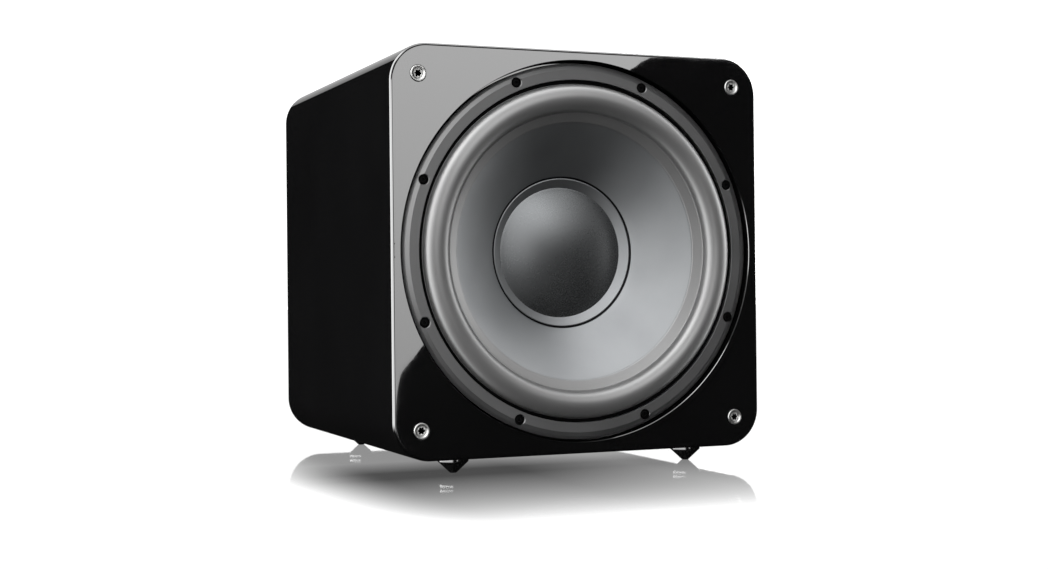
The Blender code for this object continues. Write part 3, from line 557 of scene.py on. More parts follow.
def slab(name, w, h, r, layers, steps, x=0.0, z=0.0):
    """A block with round corners. Each layer is (y, inset): its outline is the rectangle pulled in by that much."""
    points, rows, faces = [], [], []
    for y, inset in layers:
        outline = rounded(w - 2 * inset, h - 2 * inset, max(r - inset, 0.05 * MM), steps)
        rows.append(list(range(len(points), len(points) + len(outline))))
        points += [(x + px, y, z + pz) for px, pz in outline]
    for a, b in zip(rows, rows[1:]):
        for i in range(len(a)):
            j = (i + 1) % len(a)
            faces.append((a[i], a[j], b[j], b[i]))
    faces.append(tuple(rows[0]))
    faces.append(tuple(rows[-1]))
    mesh = bpy.data.meshes.new(name)
    mesh.from_pydata(points, [], faces)
    tidy(mesh)
    obj = bpy.data.objects.new(name, mesh)
    scene.collection.objects.link(obj)
    return obj


def round_over(y0, y1, size, steps):
    """Layers of a slab from y0 to y1 with rounded rims."""
    front_rim = [(y0 + size * (1 - math.cos(math.pi / 2 * k / steps)), size * (1 - math.sin(math.pi / 2 * k / steps))) for k in range(steps + 1)]
    return front_rim + [(y0 + y1 - y, inset) for y, inset in front_rim[::-1]]


def piece(obj, body, look, slot, *replaced):
    """Dresses a finished piece and fixes it to its body."""
    wear(obj, look)
    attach(obj, body)
    if replaced:
        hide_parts(*replaced)
    return obj


def around(count, radius, start):
    return [(radius * math.cos(start + 2 * math.pi * k / count), radius * math.sin(start + 2 * math.pi * k / count)) for k in range(count)]


def hexagon(across):
    """Radius of a hexagon by its angle, given its corner radius."""
    def radius(angle):
        part = (angle % (math.pi / 3)) - math.pi / 6
        return across * math.cos(math.pi / 6) / math.cos(part)
    return radius


# ---------------------------------------------------------------- cabinet: one lacquered body
FEET = {name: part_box(name) for name in ("foot_front_left", "foot_front_right", "foot_rear_left", "foot_rear_right")}
SOCKETS = {tag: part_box("socket_ring_" + tag) for tag in ("top_left", "top_right", "bottom_left", "bottom_right")}
SCREWS = around(8, 148.4, math.radians(22.5))


def middle(pair):
    return (pair[0] + pair[1]) / 2


cabinet = slab("cabinet", WIDTH, HEIGHT, CORNER_R, round_over(Y_FRONT, Y_BACK, EDGE_R, 6), 28, 0.0, Z_MID)
cutters = [
    slab(
        "hollow", WIDTH - 2 * WALL, HEIGHT - 2 * WALL, CORNER_R - WALL,
        [(Y_FRONT + BAFFLE_T, 0.0), (Y_BACK - REAR_T, 0.0)], 8, 0.0, Z_MID,
    ),
    polar("recess", [(0, 5), *eased([(163.0, 5.0), (163.0, 0.0), (157.7, 0.0), (157.3, -0.4), (157.3, -11.2, 0.8), (140.0, -11.2, 0.5), (140.0, -40.0)], False, 4), (0, -40)], 192, front()),
    slab("amp_hole", 176.0 * MM, 226.0 * MM, 6.0 * MM, [(Y_BACK - 30 * MM, 0.0), (Y_BACK + 5 * MM, 0.0)], 6, 0.0, Z_MID),
]
for tag, box in SOCKETS.items():
    spot = middle(box)
    cutters.append(
        polar(
            "seat_" + tag,
            [(0, 3), (7.0, 3.0), (7.0, 0.0), (6.78, -0.1), (6.7, -0.25), (6.7, -1.1), (5.5, -1.1), (5.5, -14.0), (0, -14.0)],
            48, front(spot.x, spot.z),
        )
    )
for k, (x, z) in enumerate(SCREWS):
    cutters.append(polar(f"pilot_{k}", [(0, -8), (2.6, -8), (2.6, -23.5), (0, -23.5)], 16, front(x * MM, Z_DRIVER + z * MM)))
for name, box in FEET.items():
    spot = middle(box)
    cutters.append(polar("bore_" + name, [(0, -5), (3.5, -5), (3.5, 13), (0, 13)], 20, Matrix.Translation((spot.x, spot.y, Z_LOW))))
for k, (x, z) in enumerate([(x, z) for x in (-93.0, 93.0) for z in (118.0, 0.0, -118.0)]):
    cutters.append(polar(f"amp_pilot_{k}", [(0, -20), (1.75, -20), (1.75, 3), (0, 3)], 12, rear(x * MM, z * MM)))
carve(cabinet, cutters)
smooth(cabinet, 28.0, weighted=True)
piece(cabinet, "cabinet", "lacquer", "cabinet_lacquer", "cabinet_shell", "front_baffle", "rear_panel")

# ---------------------------------------------------------------- feet
FOOT = eased(
    [
        (0, 11.5), (3.0, 11.5, 0.4), (3.0, -0.3, 0.2), (12.6, -0.3, 0.3), (12.6, -3.3, 0.35), (12.0, -3.8, 0.3),
        (3.1, -12.1, 0.5), (2.6, -12.5, 0.2), (0, -12.5),
    ],
    False, 4,
)
for name, box in FEET.items():
    spot = middle(box)
    foot = polar(name + "_turned", FOOT, 96, Matrix.Translation((spot.x, spot.y, Z_LOW)))
    piece(smooth(foot), "cabinet", "foot", "foot_gloss", name)

# ---------------------------------------------------------------- grille sockets
SOCKET_RING = eased(
    [
        (3.9, -12.6), (3.9, 0.35, 0.3), (4.7, 0.5, 0.35), (5.3, 0.88, 0.4), (6.2, 0.9, 0.3), (6.5, 0.55, 0.3), (6.5, -0.8),
        (5.0, -0.8), (5.0, -12.6),
    ],
    True, 4,
)


def lobes(angle):
    """A six-lobed hole."""
    return 2.66 + 0.5 * math.cos(6 * angle) - 0.08 * math.cos(12 * angle)


for tag, box in SOCKETS.items():
    spot = middle(box)
    ring = polar("socket_ring_" + tag + "_turned", SOCKET_RING, 96, front(spot.x, spot.z))
    piece(smooth(ring), "cabinet", "plated", "socket_metal", "socket_ring_" + tag)
    insert = polar(
        "socket_insert_" + tag + "_moulded",
        [(lobes, -12.4), (lobes, -0.15), (lambda a: lobes(a) + 0.12, 0.02), (lambda a: lobes(a) + 0.3, 0.06), (3.62, 0.02), (3.8, -0.2), (3.8, -12.4)],
        96, front(spot.x, spot.z),
    )
    piece(smooth(insert), "cabinet", "socket_core", "socket_rubber", "socket_insert_" + tag)

# ---------------------------------------------------------------- trim ring and its screws
ring = polar(
    "trim_ring_turned",
    eased([(141.4, -5.1), (141.4, -1.9, 0.4), (149.6, -1.9, 0.2), (152.8, -3.25, 0.4), (155.3, -5.1)], True, 6),
    288, front(),
)
carve(
    ring,
    [
        polar(f"ring_hole_{k}", [(0, 2), (5.0, 2.0), (5.0, -1.6), (4.75, -1.95), (4.25, -2.4), (4.2, -8), (0, -8)], 40, front(x * MM, Z_DRIVER + z * MM))
        for k, (x, z) in enumerate(SCREWS)
    ],
)
piece(smooth(ring, 26.0, weighted=True), "cabinet", "ring", "trim_ring", "trim_ring")

HEX = hexagon(1.7)
for k, (x, z) in enumerate(SCREWS, 1):
    screw = polar(
        f"driver_screw_{k}_turned",
        [
            (0, -4.6), (HEX, -4.6), (HEX, -3.2), (lambda a: HEX(a) + 0.15, -3.02), (2.1, -3.0), (2.8, -3.0), (3.1, -3.1), (3.3, -3.4),
            (3.35, -4.6), (3.9, -4.7), (4.0, -2.55), (4.17, -2.5), (4.17, -5.1), (2.0, -5.1), (2.0, -19.6), (1.6, -20.0), (0, -20.0),
        ],
        60, front(x * MM, Z_DRIVER + z * MM),
    )
    piece(smooth(screw), "cabinet", "screw", "screw_black", f"driver_screw_{k}")


# ---------------------------------------------------------------- surround, cone and cap
def bend_radially(obj):
    """Bakes the piece's placement into its mesh."""
    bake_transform(obj)


ROLL_R, ROLL_HALF, CROWN, ROLL_STEPS = 126.4, 11.2, -5.5, 32


def roll(half, drop):
    found = []
    for k in range(ROLL_STEPS + 1):
        t = math.pi * k / ROLL_STEPS
        base = 4.3 - 0.9 * math.cos(t)
        found.append((ROLL_R + half * math.cos(t), -(base + drop - (base - CROWN) * math.sin(t))))
    return found


upper, lower = roll(ROLL_HALF, 0.0), roll(ROLL_HALF - 1.2, 1.2)
surround = polar(
    "surround_moulded",
    eased(
        [
            (140.8, -5.1), (140.8, -4.9), (138.9, -4.9, 0.3), (138.0, -4.5, 0.3), *upper[:-1],
            (upper[-1][0], upper[-1][1], 1.2), (113.7, -5.75, 0.9), (107.7, -8.9, 0.35), (107.2, -9.3, 0.15), (107.4, -9.75),
            (109.6, -8.6), *lower[::-1][:-1], (136.6, -5.1),
        ],
        True, 3,
    ),
    256, front(),
)
smooth(surround, 50.0)
wear(surround, "surround")
bend_radially(surround)
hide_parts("surround")

# A black ring in the gap between the surround and the ring: painted shadow that fills the gap.
gap_shadow = polar("surround_gap_shadow", [(138.15, -5.1), (138.15, -4.75), (138.6, -4.55), (141.0, -4.55), (141.35, -4.7), (141.35, -5.1)], 224, front())
piece(smooth(gap_shadow), "cabinet", "painted_gap_shadow", "surround_rubber")

SLOPE = 0.723


def cone_depth(r):
    return 10.2 + (106.6 - r) * SLOPE


cone_profile = [(26.3, -cone_depth(26.3)), (40.0, -cone_depth(40.0)), (61.0, -cone_depth(61.0))]
cone_profile += [(63.0, -cone_depth(63.0), 0.2), (63.35, -cone_depth(63.35) - 0.55, 0.2), (63.9, -cone_depth(63.9) - 0.5, 0.2), (64.3, -cone_depth(64.3), 0.2)]
cone_profile += [(r, -cone_depth(r)) for r in (70.0, 78.0, 86.0, 94.0, 101.0)]
cone_profile += [(106.6, -10.2, 0.6), (109.6, -8.6, 0.5), (113.0, -7.4, 0.3), (113.0, -9.0, 0.3), (107.2, -12.0, 1.0), (86.0, -cone_depth(86.0) - 1.9), (60.0, -cone_depth(60.0) - 1.9), (26.3, -cone_depth(26.3) - 1.9)]
cone = polar("cone_pressed", eased(cone_profile, True, 4), 256, front())
piece(smooth(cone, 40.0), "cone_assembly", "cone", "cone_grey", "cone")

BASE_R, BASE_D, CAP_H = 55.2, 46.5, 9.8
DOME_R = (BASE_R**2 + CAP_H**2) / (2 * CAP_H)


def dome(r, thick=0.0):
    return -(BASE_D - CAP_H + DOME_R - math.sqrt(DOME_R**2 - r * r) + thick)


rows = [BASE_R * k / 26 for k in range(1, 26)]
cap = polar(
    "dust_cap_pressed",
    eased(
        [
            (0, dome(0)), *[(r, dome(r)) for r in rows], (BASE_R, -BASE_D - 0.1, 0.3), (62.0, -41.0, 0.3), (62.7, -41.15, 0.25), (62.9, -41.7, 0.1),
            (BASE_R, -BASE_D - 0.5), *[(r, dome(r, 1.0)) for r in rows[::-5]], (0, dome(0, 1.0)),
        ],
        False, 4,
    ),
    224, front(),
)
piece(smooth(cap, 40.0), "cone_assembly", "cap", "cap_grey", "dust_cap")

# The spider and the two leads.
waves = [(31.5 + 7.3 * k, 77.2 + (2.3 if k % 2 else -2.3)) for k in range(7)]
fine = []
for (r0, d0), (r1, d1) in zip(waves, waves[1:]):
    for k in range(6):
        t = k / 6
        fine.append((r0 + (r1 - r0) * t, (d0 + d1) / 2 + (d0 - d1) / 2 * math.cos(math.pi * t)))
fine.append(waves[-1])
spider = polar(
    "spider_pressed",
    [(26.7, -74.0), (27.6, -74.0)] + [(r, -d) for r, d in fine] + [(79.0, -75.2), (89.5, -75.2), (89.5, -76.2), (78.8, -76.2)]
    + [(r, -d - 1.0) for r, d in fine[::-1]] + [(26.7, -78.2)],
    128, front(),
)
smooth(spider, 40.0)
wear(spider, "spider")
bend_radially(spider)
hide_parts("spider")


def route_through(points, per_span):
    ends = [points[0], *points, points[-1]]
    found = []
    for a, b, c, d in zip(ends, ends[1:], ends[2:], ends[3:]):
        for i in range(per_span):
            t = i / per_span
            found.append(tuple(0.5 * (2 * q + (r - p) * t + (2 * p - 5 * q + 4 * r - s) * t * t + (3 * q - p - 3 * r + s) * t**3) for p, q, r, s in zip(a, b, c, d)))
    found.append(points[-1])
    return found


def tube(name, points, radius, sides=14):
    """A round tube along points, closed at both ends. Also returns each vertex's share of the way along."""
    centres = [Vector(p) for p in points]
    side = Vector((0.0, 0.0, 1.0))
    verts, along, faces = [], [], []
    for i, spot in enumerate(centres):
        ahead = (centres[min(i + 1, len(centres) - 1)] - centres[max(i - 1, 0)]).normalized()
        side = (side - ahead * side.dot(ahead)).normalized()
        other = ahead.cross(side)
        for k in range(sides):
            angle = 2 * math.pi * k / sides
            verts.append(spot + (side * math.cos(angle) + other * math.sin(angle)) * radius)
            along.append(i / (len(centres) - 1))
    for i in range(len(centres) - 1):
        for k in range(sides):
            a, b = i * sides + k, i * sides + (k + 1) % sides
            faces.append((a, b, b + sides, a + sides))
    faces.append(tuple(range(sides)))
    faces.append(tuple(range(len(verts) - sides, len(verts))))
    mesh = bpy.data.meshes.new(name)
    mesh.from_pydata(verts, [], faces)
    tidy(mesh)
    obj = bpy.data.objects.new(name, mesh)
    scene.collection.objects.link(obj)
    return obj, along


for tag, side in (("pos", 1), ("neg", -1)):
    z = Z_DRIVER + side * 7.0 * MM
    knots = [(96.0, 82.7), (106.0, 78.0), (107.0, 65.0), (94.0, 57.5), (74.0, 61.0), (60.5, 56.5), (57.2, 51.0)]
    lead, along = tube("tinsel_lead_" + tag + "_braided", route_through([(x * MM, Y_FRONT + d * MM, z) for x, d in knots], 6), 0.9 * MM)
    smooth(lead, 50.0)
    wear(lead, "tinsel")
    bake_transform(lead)
    share = np.clip((np.array(along) - 0.15) / 0.7, 0.0, 1.0)
    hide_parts("tinsel_lead_" + tag)

    d0, z0 = Z_DRIVER - Z_MID, side * 7.0
    knots = [
        (101.6, 84.6, 0.8 + z0), (110.0, 93.0, 2.8 + z0), (110.0, 125.0, 13.8 + z0), (97.0, 163.0, 28.8 + z0),
        (78.0, 205.0, 32.8 + z0), (64.0, 248.0, 27.8 + z0), (62.0, 270.6, 26.8 + z0),
    ]
    wire, _ = tube("speaker_wire_" + tag + "_drawn", route_through([(x * MM, Y_FRONT + d * MM, Z_MID + h * MM) for x, d, h in knots], 6), 1.6 * MM)
    smooth(wire, 50.0)
    piece(wire, "cabinet", "wire_red" if tag == "pos" else "wire_black", "wire_red" if tag == "pos" else "wire_black", "speaker_wire_" + tag)

# ---------------------------------------------------------------- rear controls
KNOBS = {"knob_level": "level", "knob_lowpass": "lowpass", "knob_phase": "phase"}


def fluted(radius):
    def at(angle):
        return radius - 0.28 * (0.5 + 0.5 * math.cos(24 * angle)) ** 2
    return at


for name, body in KNOBS.items():
    spot = middle(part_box(name))
    place = rear(spot.x, spot.z - Z_MID)
    knob = polar(
        name + "_moulded",
        [
            (0, 11.2), (4.6, 11.2), (5.0, 11.35), (5.5, 11.45), (5.9, 11.3), (6.2, 10.9), (fluted(6.55), 10.5), (fluted(6.8), 9.0),
            (fluted(7.2), 5.2), (7.3, 4.8), (7.4, 4.4), (7.4, 3.9), (7.2, 3.7), (3.0, 3.7), (3.0, -14.0), (2.7, -14.3), (0, -14.3),
        ],
        240, place,
    )
    groove = slab("groove", 1.2 * MM, 7.0 * MM, 0.3 * MM, [(Y_BACK + 10.7 * MM, 0.0), (Y_BACK + 13 * MM, 0.0)], 3, spot.x, spot.z + 5.0 * MM)
    carve(knob, [groove])
    piece(smooth(knob), body, "knob", "knob", name)
    line = slab(
        name + "_pointer", 1.0 * MM, 6.2 * MM, 0.3 * MM,
        [(Y_BACK + 10.75 * MM, 0.0), (Y_BACK + 10.95 * MM, 0.0), (Y_BACK + 11.0 * MM, 0.06 * MM)], 4, spot.x, spot.z + 4.7 * MM,
    )
    piece(smooth(line), body, "print", "knob")

# Printed scales: short strokes round each knob, longer at the ends, each a thin pad of ink.
strokes = bmesh.new()
for name in KNOBS:
    spot = middle(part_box(name))
    for k in range(11):
        angle = math.radians(90.0 + 150.0 - 30.0 * k)
        long = 3.4 if k in (0, 5, 10) else 2.2
        near, far, half = 9.4 * MM, (9.4 + long) * MM, 0.26 * MM
        made = bmesh.ops.create_cube(strokes, size=1.0)["verts"]
        for v in made:
            along_it = near if v.co.x < 0 else far
            across = half if v.co.y > 0 else -half
            y = Y_BACK + (3.32 if v.co.z < 0 else 3.37) * MM
            v.co = (
                spot.x + along_it * math.cos(angle) - across * math.sin(angle),
                y,
                spot.z + along_it * math.sin(angle) + across * math.cos(angle),
            )
bmesh.ops.recalc_face_normals(strokes, faces=strokes.faces)
mesh = bpy.data.meshes.new("dial_strokes")
strokes.to_mesh(mesh)
strokes.free()
dials = bpy.data.objects.new("dial_strokes", mesh)
scene.collection.objects.link(dials)
piece(dials, "cabinet", "print", "amp_plate")

# A fine printed frame round the sockets and one round the mains parts.
for tag, w, h, x, z in (("sockets", 46.0, 30.0, -46.0, 18.0), ("mains", 96.0, 38.0, 18.0, -92.0)):
    outer = slab(f"print_frame_{tag}", w * MM, h * MM, 3.0 * MM, [(Y_BACK + 3.32 * MM, 0.0), (Y_BACK + 3.37 * MM, 0.0)], 8, x * MM, Z_MID + z * MM)
    inner = slab("inner", (w - 0.9) * MM, (h - 0.9) * MM, 2.55 * MM, [(Y_BACK + 2 * MM, 0.0), (Y_BACK + 5 * MM, 0.0)], 8, x * MM, Z_MID + z * MM)
    piece(smooth(carve(outer, [inner])), "cabinet", "print", "amp_plate")

# Line-level sockets: plated barrels with coloured insulators on a moulded base.
jack_low, jack_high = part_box("rca_block")
jx, jz = (jack_low.x + jack_high.x) / 2, (jack_low.z + jack_high.z) / 2
base = slab("rca_base", 34 * MM, 18 * MM, 1.2 * MM, round_over(Y_BACK + 3.6 * MM, Y_BACK + 5.0 * MM, 0.4 * MM, 4), 8, jx, jz)
well = slab("rca_well", 26.4 * MM, 11.2 * MM, 0.4 * MM, [(Y_BACK - 12 * MM, 0.0), (Y_BACK + 4.0 * MM, 0.0)], 3, jx, jz)
carve(base, [well], "UNION")
carve(base, [polar(f"jack_bore_{k}", [(0, 1.8), (4.3, 1.8), (4.3, 12), (0, 12)], 40, rear(jx + x * MM, jz - Z_MID)) for k, x in enumerate((-8.5, 8.5))])
piece(smooth(base), "cabinet", "plastic", "plastic_black", "rca_block")
for tag, x, colour in (("left", -8.5, "white_ring"), ("right", 8.5, "red_ring")):
    place = rear(jx + x * MM, jz - Z_MID)
    barrel = polar(
        "rca_barrel_" + tag,
        eased([(3.55, 2.0), (4.15, 2.0), (4.15, 10.9, 0.3), (3.75, 11.3, 0.15), (3.55, 11.1), (3.5, 6.0)], True, 3),
        72, place,
    )
    piece(smooth(barrel), "cabinet", "nickel", "socket_metal")
    core = polar(
        "rca_insulator_" + tag,
        [(1.8, 3.0), (1.8, 10.0), (1.95, 10.25), (2.2, 10.35), (3.1, 10.35), (3.35, 10.2), (3.45, 9.9), (3.45, 2.0), (1.8, 2.0)],
        72, place,
    )
    piece(smooth(core), "cabinet", colour, "plastic_black")

led_spot = middle(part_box("led_lens"))
lens = polar(
    "led_lens_moulded",
    [(0, 6.0), (0.7, 5.93), (1.3, 5.72), (1.9, 5.3), (2.35, 4.75), (2.6, 4.5), (3.5, 4.42), (3.75, 4.25), (3.8, 4.0), (3.8, 3.6), (2.7, 3.6), (2.7, -3.0), (0, -3.0)],
    72, rear(led_spot.x, led_spot.z - Z_MID),
)
piece(smooth(lens), "cabinet", "lens", "lens", "led_lens")

SOCKET_HEX = hexagon(1.3)
for k in range(1, 7):
    spot = middle(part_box(f"amp_screw_{k}"))
    screw = polar(
        f"amp_screw_{k}_turned",
        [
            (0, 4.4), (SOCKET_HEX, 4.4), (SOCKET_HEX, 5.45), (lambda a: SOCKET_HEX(a) + 0.12, 5.58), (1.9, 5.6), (2.4, 5.45), (2.85, 5.1), (3.1, 4.6),
            (3.2, 4.1), (3.2, 3.6), (1.35, 3.6), (1.35, -10.6), (1.0, -11.0), (0, -11.0),
        ],
        60, rear(spot.x, spot.z - Z_MID),
    )
    piece(smooth(screw), "cabinet", "screw", "screw_black", f"amp_screw_{k}")

# ---------------------------------------------------------------- CAD nodes that stay: better edges and finishes
CARRIED = {
    "amp_plate": ("plate", "amp_plate", 0.5), "iec_inlet": ("plastic", "plastic_black", 0.35), "rocker_housing": ("plastic", "plastic_black", 0.35),
    "power_rocker": ("plastic", "plastic_black", 0.3), "basket": ("basket", "cast_basket", 0.0), "gasket": ("foam", "gasket_foam", 0.15),
    "top_plate": ("zinc", "zinc_steel", 0.4), "magnet": ("ferrite", "ferrite", 0.4), "yoke": ("zinc", "zinc_steel", 0.4),
    "terminal_block": ("plastic", "plastic_black", 0.25), "coil_former": ("former", "former_aluminium", 0.1),
    "coil_winding": ("winding", "copper", 0.1), "brace": ("board", "raw_mdf", 0.6), "lining": ("wadding", "wadding", 2.0),
    "amp_chassis": ("zinc", "zinc_steel", 0.3), "amp_board": ("circuit", "board", 0.15), "transformer": ("toroid", "transformer", 0.8),
}
for name, (look, slot_name, edge) in CARRIED.items():
    obj = nodes[name]
    wear(obj, look)
    if edge:
        step = obj.modifiers.new("eased_edges", "BEVEL")
        step.width, step.segments, step.limit_method, step.angle_limit = edge * MM, 3, "ANGLE", math.radians(32)
        step.use_clamp_overlap = True
        step.harden_normals = False
    step = obj.modifiers.new("face_weighted", "WEIGHTED_NORMAL")
    step.keep_sharp = True


# ---------------------------------------------------------------- studio
SIDE_FADE, FRONT_FADE = 0.082, 0.29


def floor_finish():
    """White acrylic. Its polish is strongest round the object and fades out within a third of a metre."""
    material = bpy.data.materials.new("studio_floor")
    material.use_nodes = True
    tree = material.node_tree
    tree.nodes.clear()

    def new(kind, **settings):
        node = tree.nodes.new(kind)
        for key, value in settings.items():
            setattr(node, key, value)
        return node

    def sums(operation, a, b=None, clamp=False):
        node = new("ShaderNodeMath", operation=operation, use_clamp=clamp)
        for socket, value in zip(node.inputs, (a, b)):
            if value is None:
                continue
            if isinstance(value, (int, float)):
                socket.default_value = value
            else:
                tree.links.new(value, socket)
        return node.outputs[0]

    coords = new("ShaderNodeTexCoord").outputs["Object"]
    parts = new("ShaderNodeSeparateXYZ")
    tree.links.new(coords, parts.inputs[0])
    half_depth = (Y_BACK - Y_FRONT) / 2
    dx = sums("MAXIMUM", sums("SUBTRACT", sums("ABSOLUTE", parts.outputs[0]), WIDTH / 2), 0.0)
    dy = sums("MAXIMUM", sums("SUBTRACT", sums("ABSOLUTE", parts.outputs[1]), half_depth), 0.0)
    across, far = sums("DIVIDE", dx, SIDE_FADE), sums("DIVIDE", dy, FRONT_FADE)
    along = sums("ADD", sums("MULTIPLY", dy, 1.8), sums("POWER", far, 4.0))
    fade = sums("SUBTRACT", sums("SUBTRACT", 1.0, sums("MULTIPLY", across, across)), along, True)
    # Polish is a little lower towards the back, under the cabinet.
    depth = new("ShaderNodeMapRange")
    tree.links.new(parts.outputs[1], depth.inputs["Value"])
    for key, number in zip(("From Min", "From Max", "To Min", "To Max"), (-half_depth + 0.04, -half_depth + 0.12, 0.93, 0.72)):
        depth.inputs[key].default_value = number
    side = new("ShaderNodeMapRange")
    tree.links.new(parts.outputs[0], side.inputs["Value"])
    for key, number in zip(("From Min", "From Max", "To Min", "To Max"), (-0.05, 0.05, 1.0, 0.84)):
        side.inputs[key].default_value = number
    share = sums("MULTIPLY", sums("MULTIPLY", depth.outputs["Result"], fade), side.outputs["Result"])
    white = new("ShaderNodeBsdfDiffuse")
    white.inputs["Color"].default_value = (0.06, 0.06, 0.06, 1.0)
    glow = new("ShaderNodeEmission")
    glow.inputs["Color"].default_value = (1.0, 1.0, 1.0, 1.0)
    glow.inputs["Strength"].default_value = 1.0
    both = new("ShaderNodeAddShader")
    tree.links.new(white.outputs[0], both.inputs[0])
    tree.links.new(glow.outputs[0], both.inputs[1])
    polish = new("ShaderNodeBsdfGlossy")
    polish.inputs["Roughness"].default_value = 0.04
    mix = new("ShaderNodeMixShader")
    tree.links.new(share, mix.inputs[0])
    tree.links.new(both.outputs[0], mix.inputs[1])
    tree.links.new(polish.outputs[0], mix.inputs[2])
    out = new("ShaderNodeOutputMaterial")
    tree.links.new(mix.outputs[0], out.inputs[0])
    return material


def glowing(name, strength, gradient=None):
    """An emitting material. A gradient is (z low, z high, factor low, factor high)."""
    material = bpy.data.materials.new(name)
    material.use_nodes = True
    tree = material.node_tree
    tree.nodes.clear()
    glow = tree.nodes.new("ShaderNodeEmission")
    glow.inputs["Strength"].default_value = strength
    if gradient:
        coords = tree.nodes.new("ShaderNodeTexCoord")
        parts = tree.nodes.new("ShaderNodeSeparateXYZ")
        ramp = tree.nodes.new("ShaderNodeMapRange")
        for key, number in zip(("From Min", "From Max", "To Min", "To Max"), (gradient[0], gradient[1], gradient[2] * strength, gradient[3] * strength)):
            ramp.inputs[key].default_value = number
        tree.links.new(coords.outputs["Object"], parts.inputs[0])
        tree.links.new(parts.outputs[2], ramp.inputs["Value"])
        tree.links.new(ramp.outputs["Result"], glow.inputs["Strength"])
    # Rays go on through the cloth, so one light never blocks another.
    clear = tree.nodes.new("ShaderNodeBsdfTransparent")
    both = tree.nodes.new("ShaderNodeAddShader")
    tree.links.new(glow.outputs[0], both.inputs[0])
    tree.links.new(clear.outputs[0], both.inputs[1])
    out = tree.nodes.new("ShaderNodeOutputMaterial")
    tree.links.new(both.outputs[0], out.inputs[0])
    return material


# Floor
mesh = bpy.data.meshes.new("floor")
mesh.from_pydata([(-15, -15, 0), (15, -15, 0), (15, 15, 0), (-15, 15, 0)], [], [(0, 1, 2, 3)])
floor = bpy.data.objects.new("floor", mesh)
mesh.materials.append(floor_finish())
scene.collection.objects.link(floor)
floor.visible_glossy = False
floor.visible_diffuse = False
floor.visible_shadow = False

# White surroundings, which light only the floor
shape = bmesh.new()
bmesh.ops.create_uvsphere(shape, u_segments=48, v_segments=24, radius=13.0)
mesh = bpy.data.meshes.new("surroundings")
shape.to_mesh(mesh)
shape.free()
surroundings = bpy.data.objects.new("surroundings", mesh)
mesh.materials.append(glowing("white_surroundings", 1.3))
mesh.shade_smooth()
scene.collection.objects.link(surroundings)
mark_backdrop(floor, surroundings)
floor_only = bpy.data.collections.new("floor_only")
floor_only.objects.link(floor)
surroundings.light_linking.receiver_collection = floor_only

driver_light = bpy.data.collections.new("driver_light")
cabinet_light = bpy.data.collections.new("cabinet_light")
ring_light = bpy.data.collections.new("ring_light")
DRIVER = ("surround_moulded", "surround_gap_shadow", "cone_pressed", "dust_cap_pressed")


def card(name, centre, target, w, h, radiance, turn=0.0):
    """A softbox that lights the cabinet and the parts on it."""
    data = bpy.data.lights.new(name, "AREA")
    data.shape = "RECTANGLE"
    data.size, data.size_y = w, h
    data.energy = radiance * w * h * 4.0
    obj = bpy.data.objects.new(name, data)
    away = (Vector(centre) - Vector(target)).normalized()
    facing = away.to_track_quat("Z", "Y").to_matrix().to_4x4()
    obj.matrix_world = Matrix.Translation(centre) @ facing @ Matrix.Rotation(turn, 4, "Z")
    scene.collection.objects.link(obj)
    obj.visible_camera = False
    obj.light_linking.receiver_collection = cabinet_light
    return obj


def light_dome(name, radius, receivers, brightness):
    """A smooth diffusing dome. brightness(azimuth, elevation) is in degrees, with azimuth 0 in front and positive to the right."""
    shape = bmesh.new()
    bmesh.ops.create_icosphere(shape, subdivisions=5, radius=1.0)
    mesh = bpy.data.meshes.new(name)
    shape.to_mesh(mesh)
    shape.free()
    values = []
    for vertex in mesh.vertices:
        x, y, z = vertex.co
        values.append(brightness(math.degrees(math.atan2(x, -y)), math.degrees(math.asin(max(-1.0, min(1.0, z))))))
    mesh.attributes.new("glow", "FLOAT", "POINT").data.foreach_set("value", np.array(values, np.float32))
    mesh.shade_smooth()
    material = glowing(name + "_cloth", 1.0)
    tree = material.node_tree
    source = tree.nodes.new("ShaderNodeAttribute")
    source.attribute_name = "glow"
    emit = next(node for node in tree.nodes if node.type == "EMISSION")
    tree.links.new(source.outputs["Fac"], emit.inputs["Strength"])
    mesh.materials.append(material)
    obj = bpy.data.objects.new(name, mesh)
    obj.matrix_world = Matrix.Translation((0.0, -0.15, 0.2)) @ Matrix.Scale(radius, 4)
    scene.collection.objects.link(obj)
    obj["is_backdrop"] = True
    obj.visible_camera = False
    obj.light_linking.receiver_collection = receivers
    return obj


GLOW = [  # (elevation from, to, azimuth of the first patch, its width, brightness of each patch round from the left)
    (-60, -25, -140, 40, (5.47, 2.83, 0.5, 0, 0, 0, 3.48)),
    (-25, -5, -140, 28, (6.61, 6.96, 4.71, 1.11, 0.27, 0.08, 0, 0.47, 5.46, 4.98)),
    (-5, 15, -140, 20, (6.81, 6.39, 7.05, 5.26, 2.57, 0, 2.49, 0, 0, 0, 3.76, 6.44, 4.4, 5.33)),
    (15, 38, -140, 20, (6.79, 6.8, 7.05, 5.91, 3.12, 0.66, 3.41, 4.62, 1.64, 0.22, 1.58, 6.26, 4.55, 5.21)),
    (38, 64, -160, 40, (6.63, 6.95, 9.24, 0.76, 0, 1.51, 4.48, 5.21)),
    (64, 90, -180, 360, (5.57,)),
]
PATCHES = []
for low, high, first, step, row in GLOW:
    for k, value in enumerate(row):
        el, az = math.radians((low + high) / 2), math.radians(first + (k + 0.5) * step)
        if len(row) == 1:
            el = math.radians(80.0)
        PATCHES.append((math.sin(az) * math.cos(el), -math.cos(az) * math.cos(el), math.sin(el), value, 26.0 if len(row) == 1 else 11.0))
PATCHES = np.array(PATCHES)


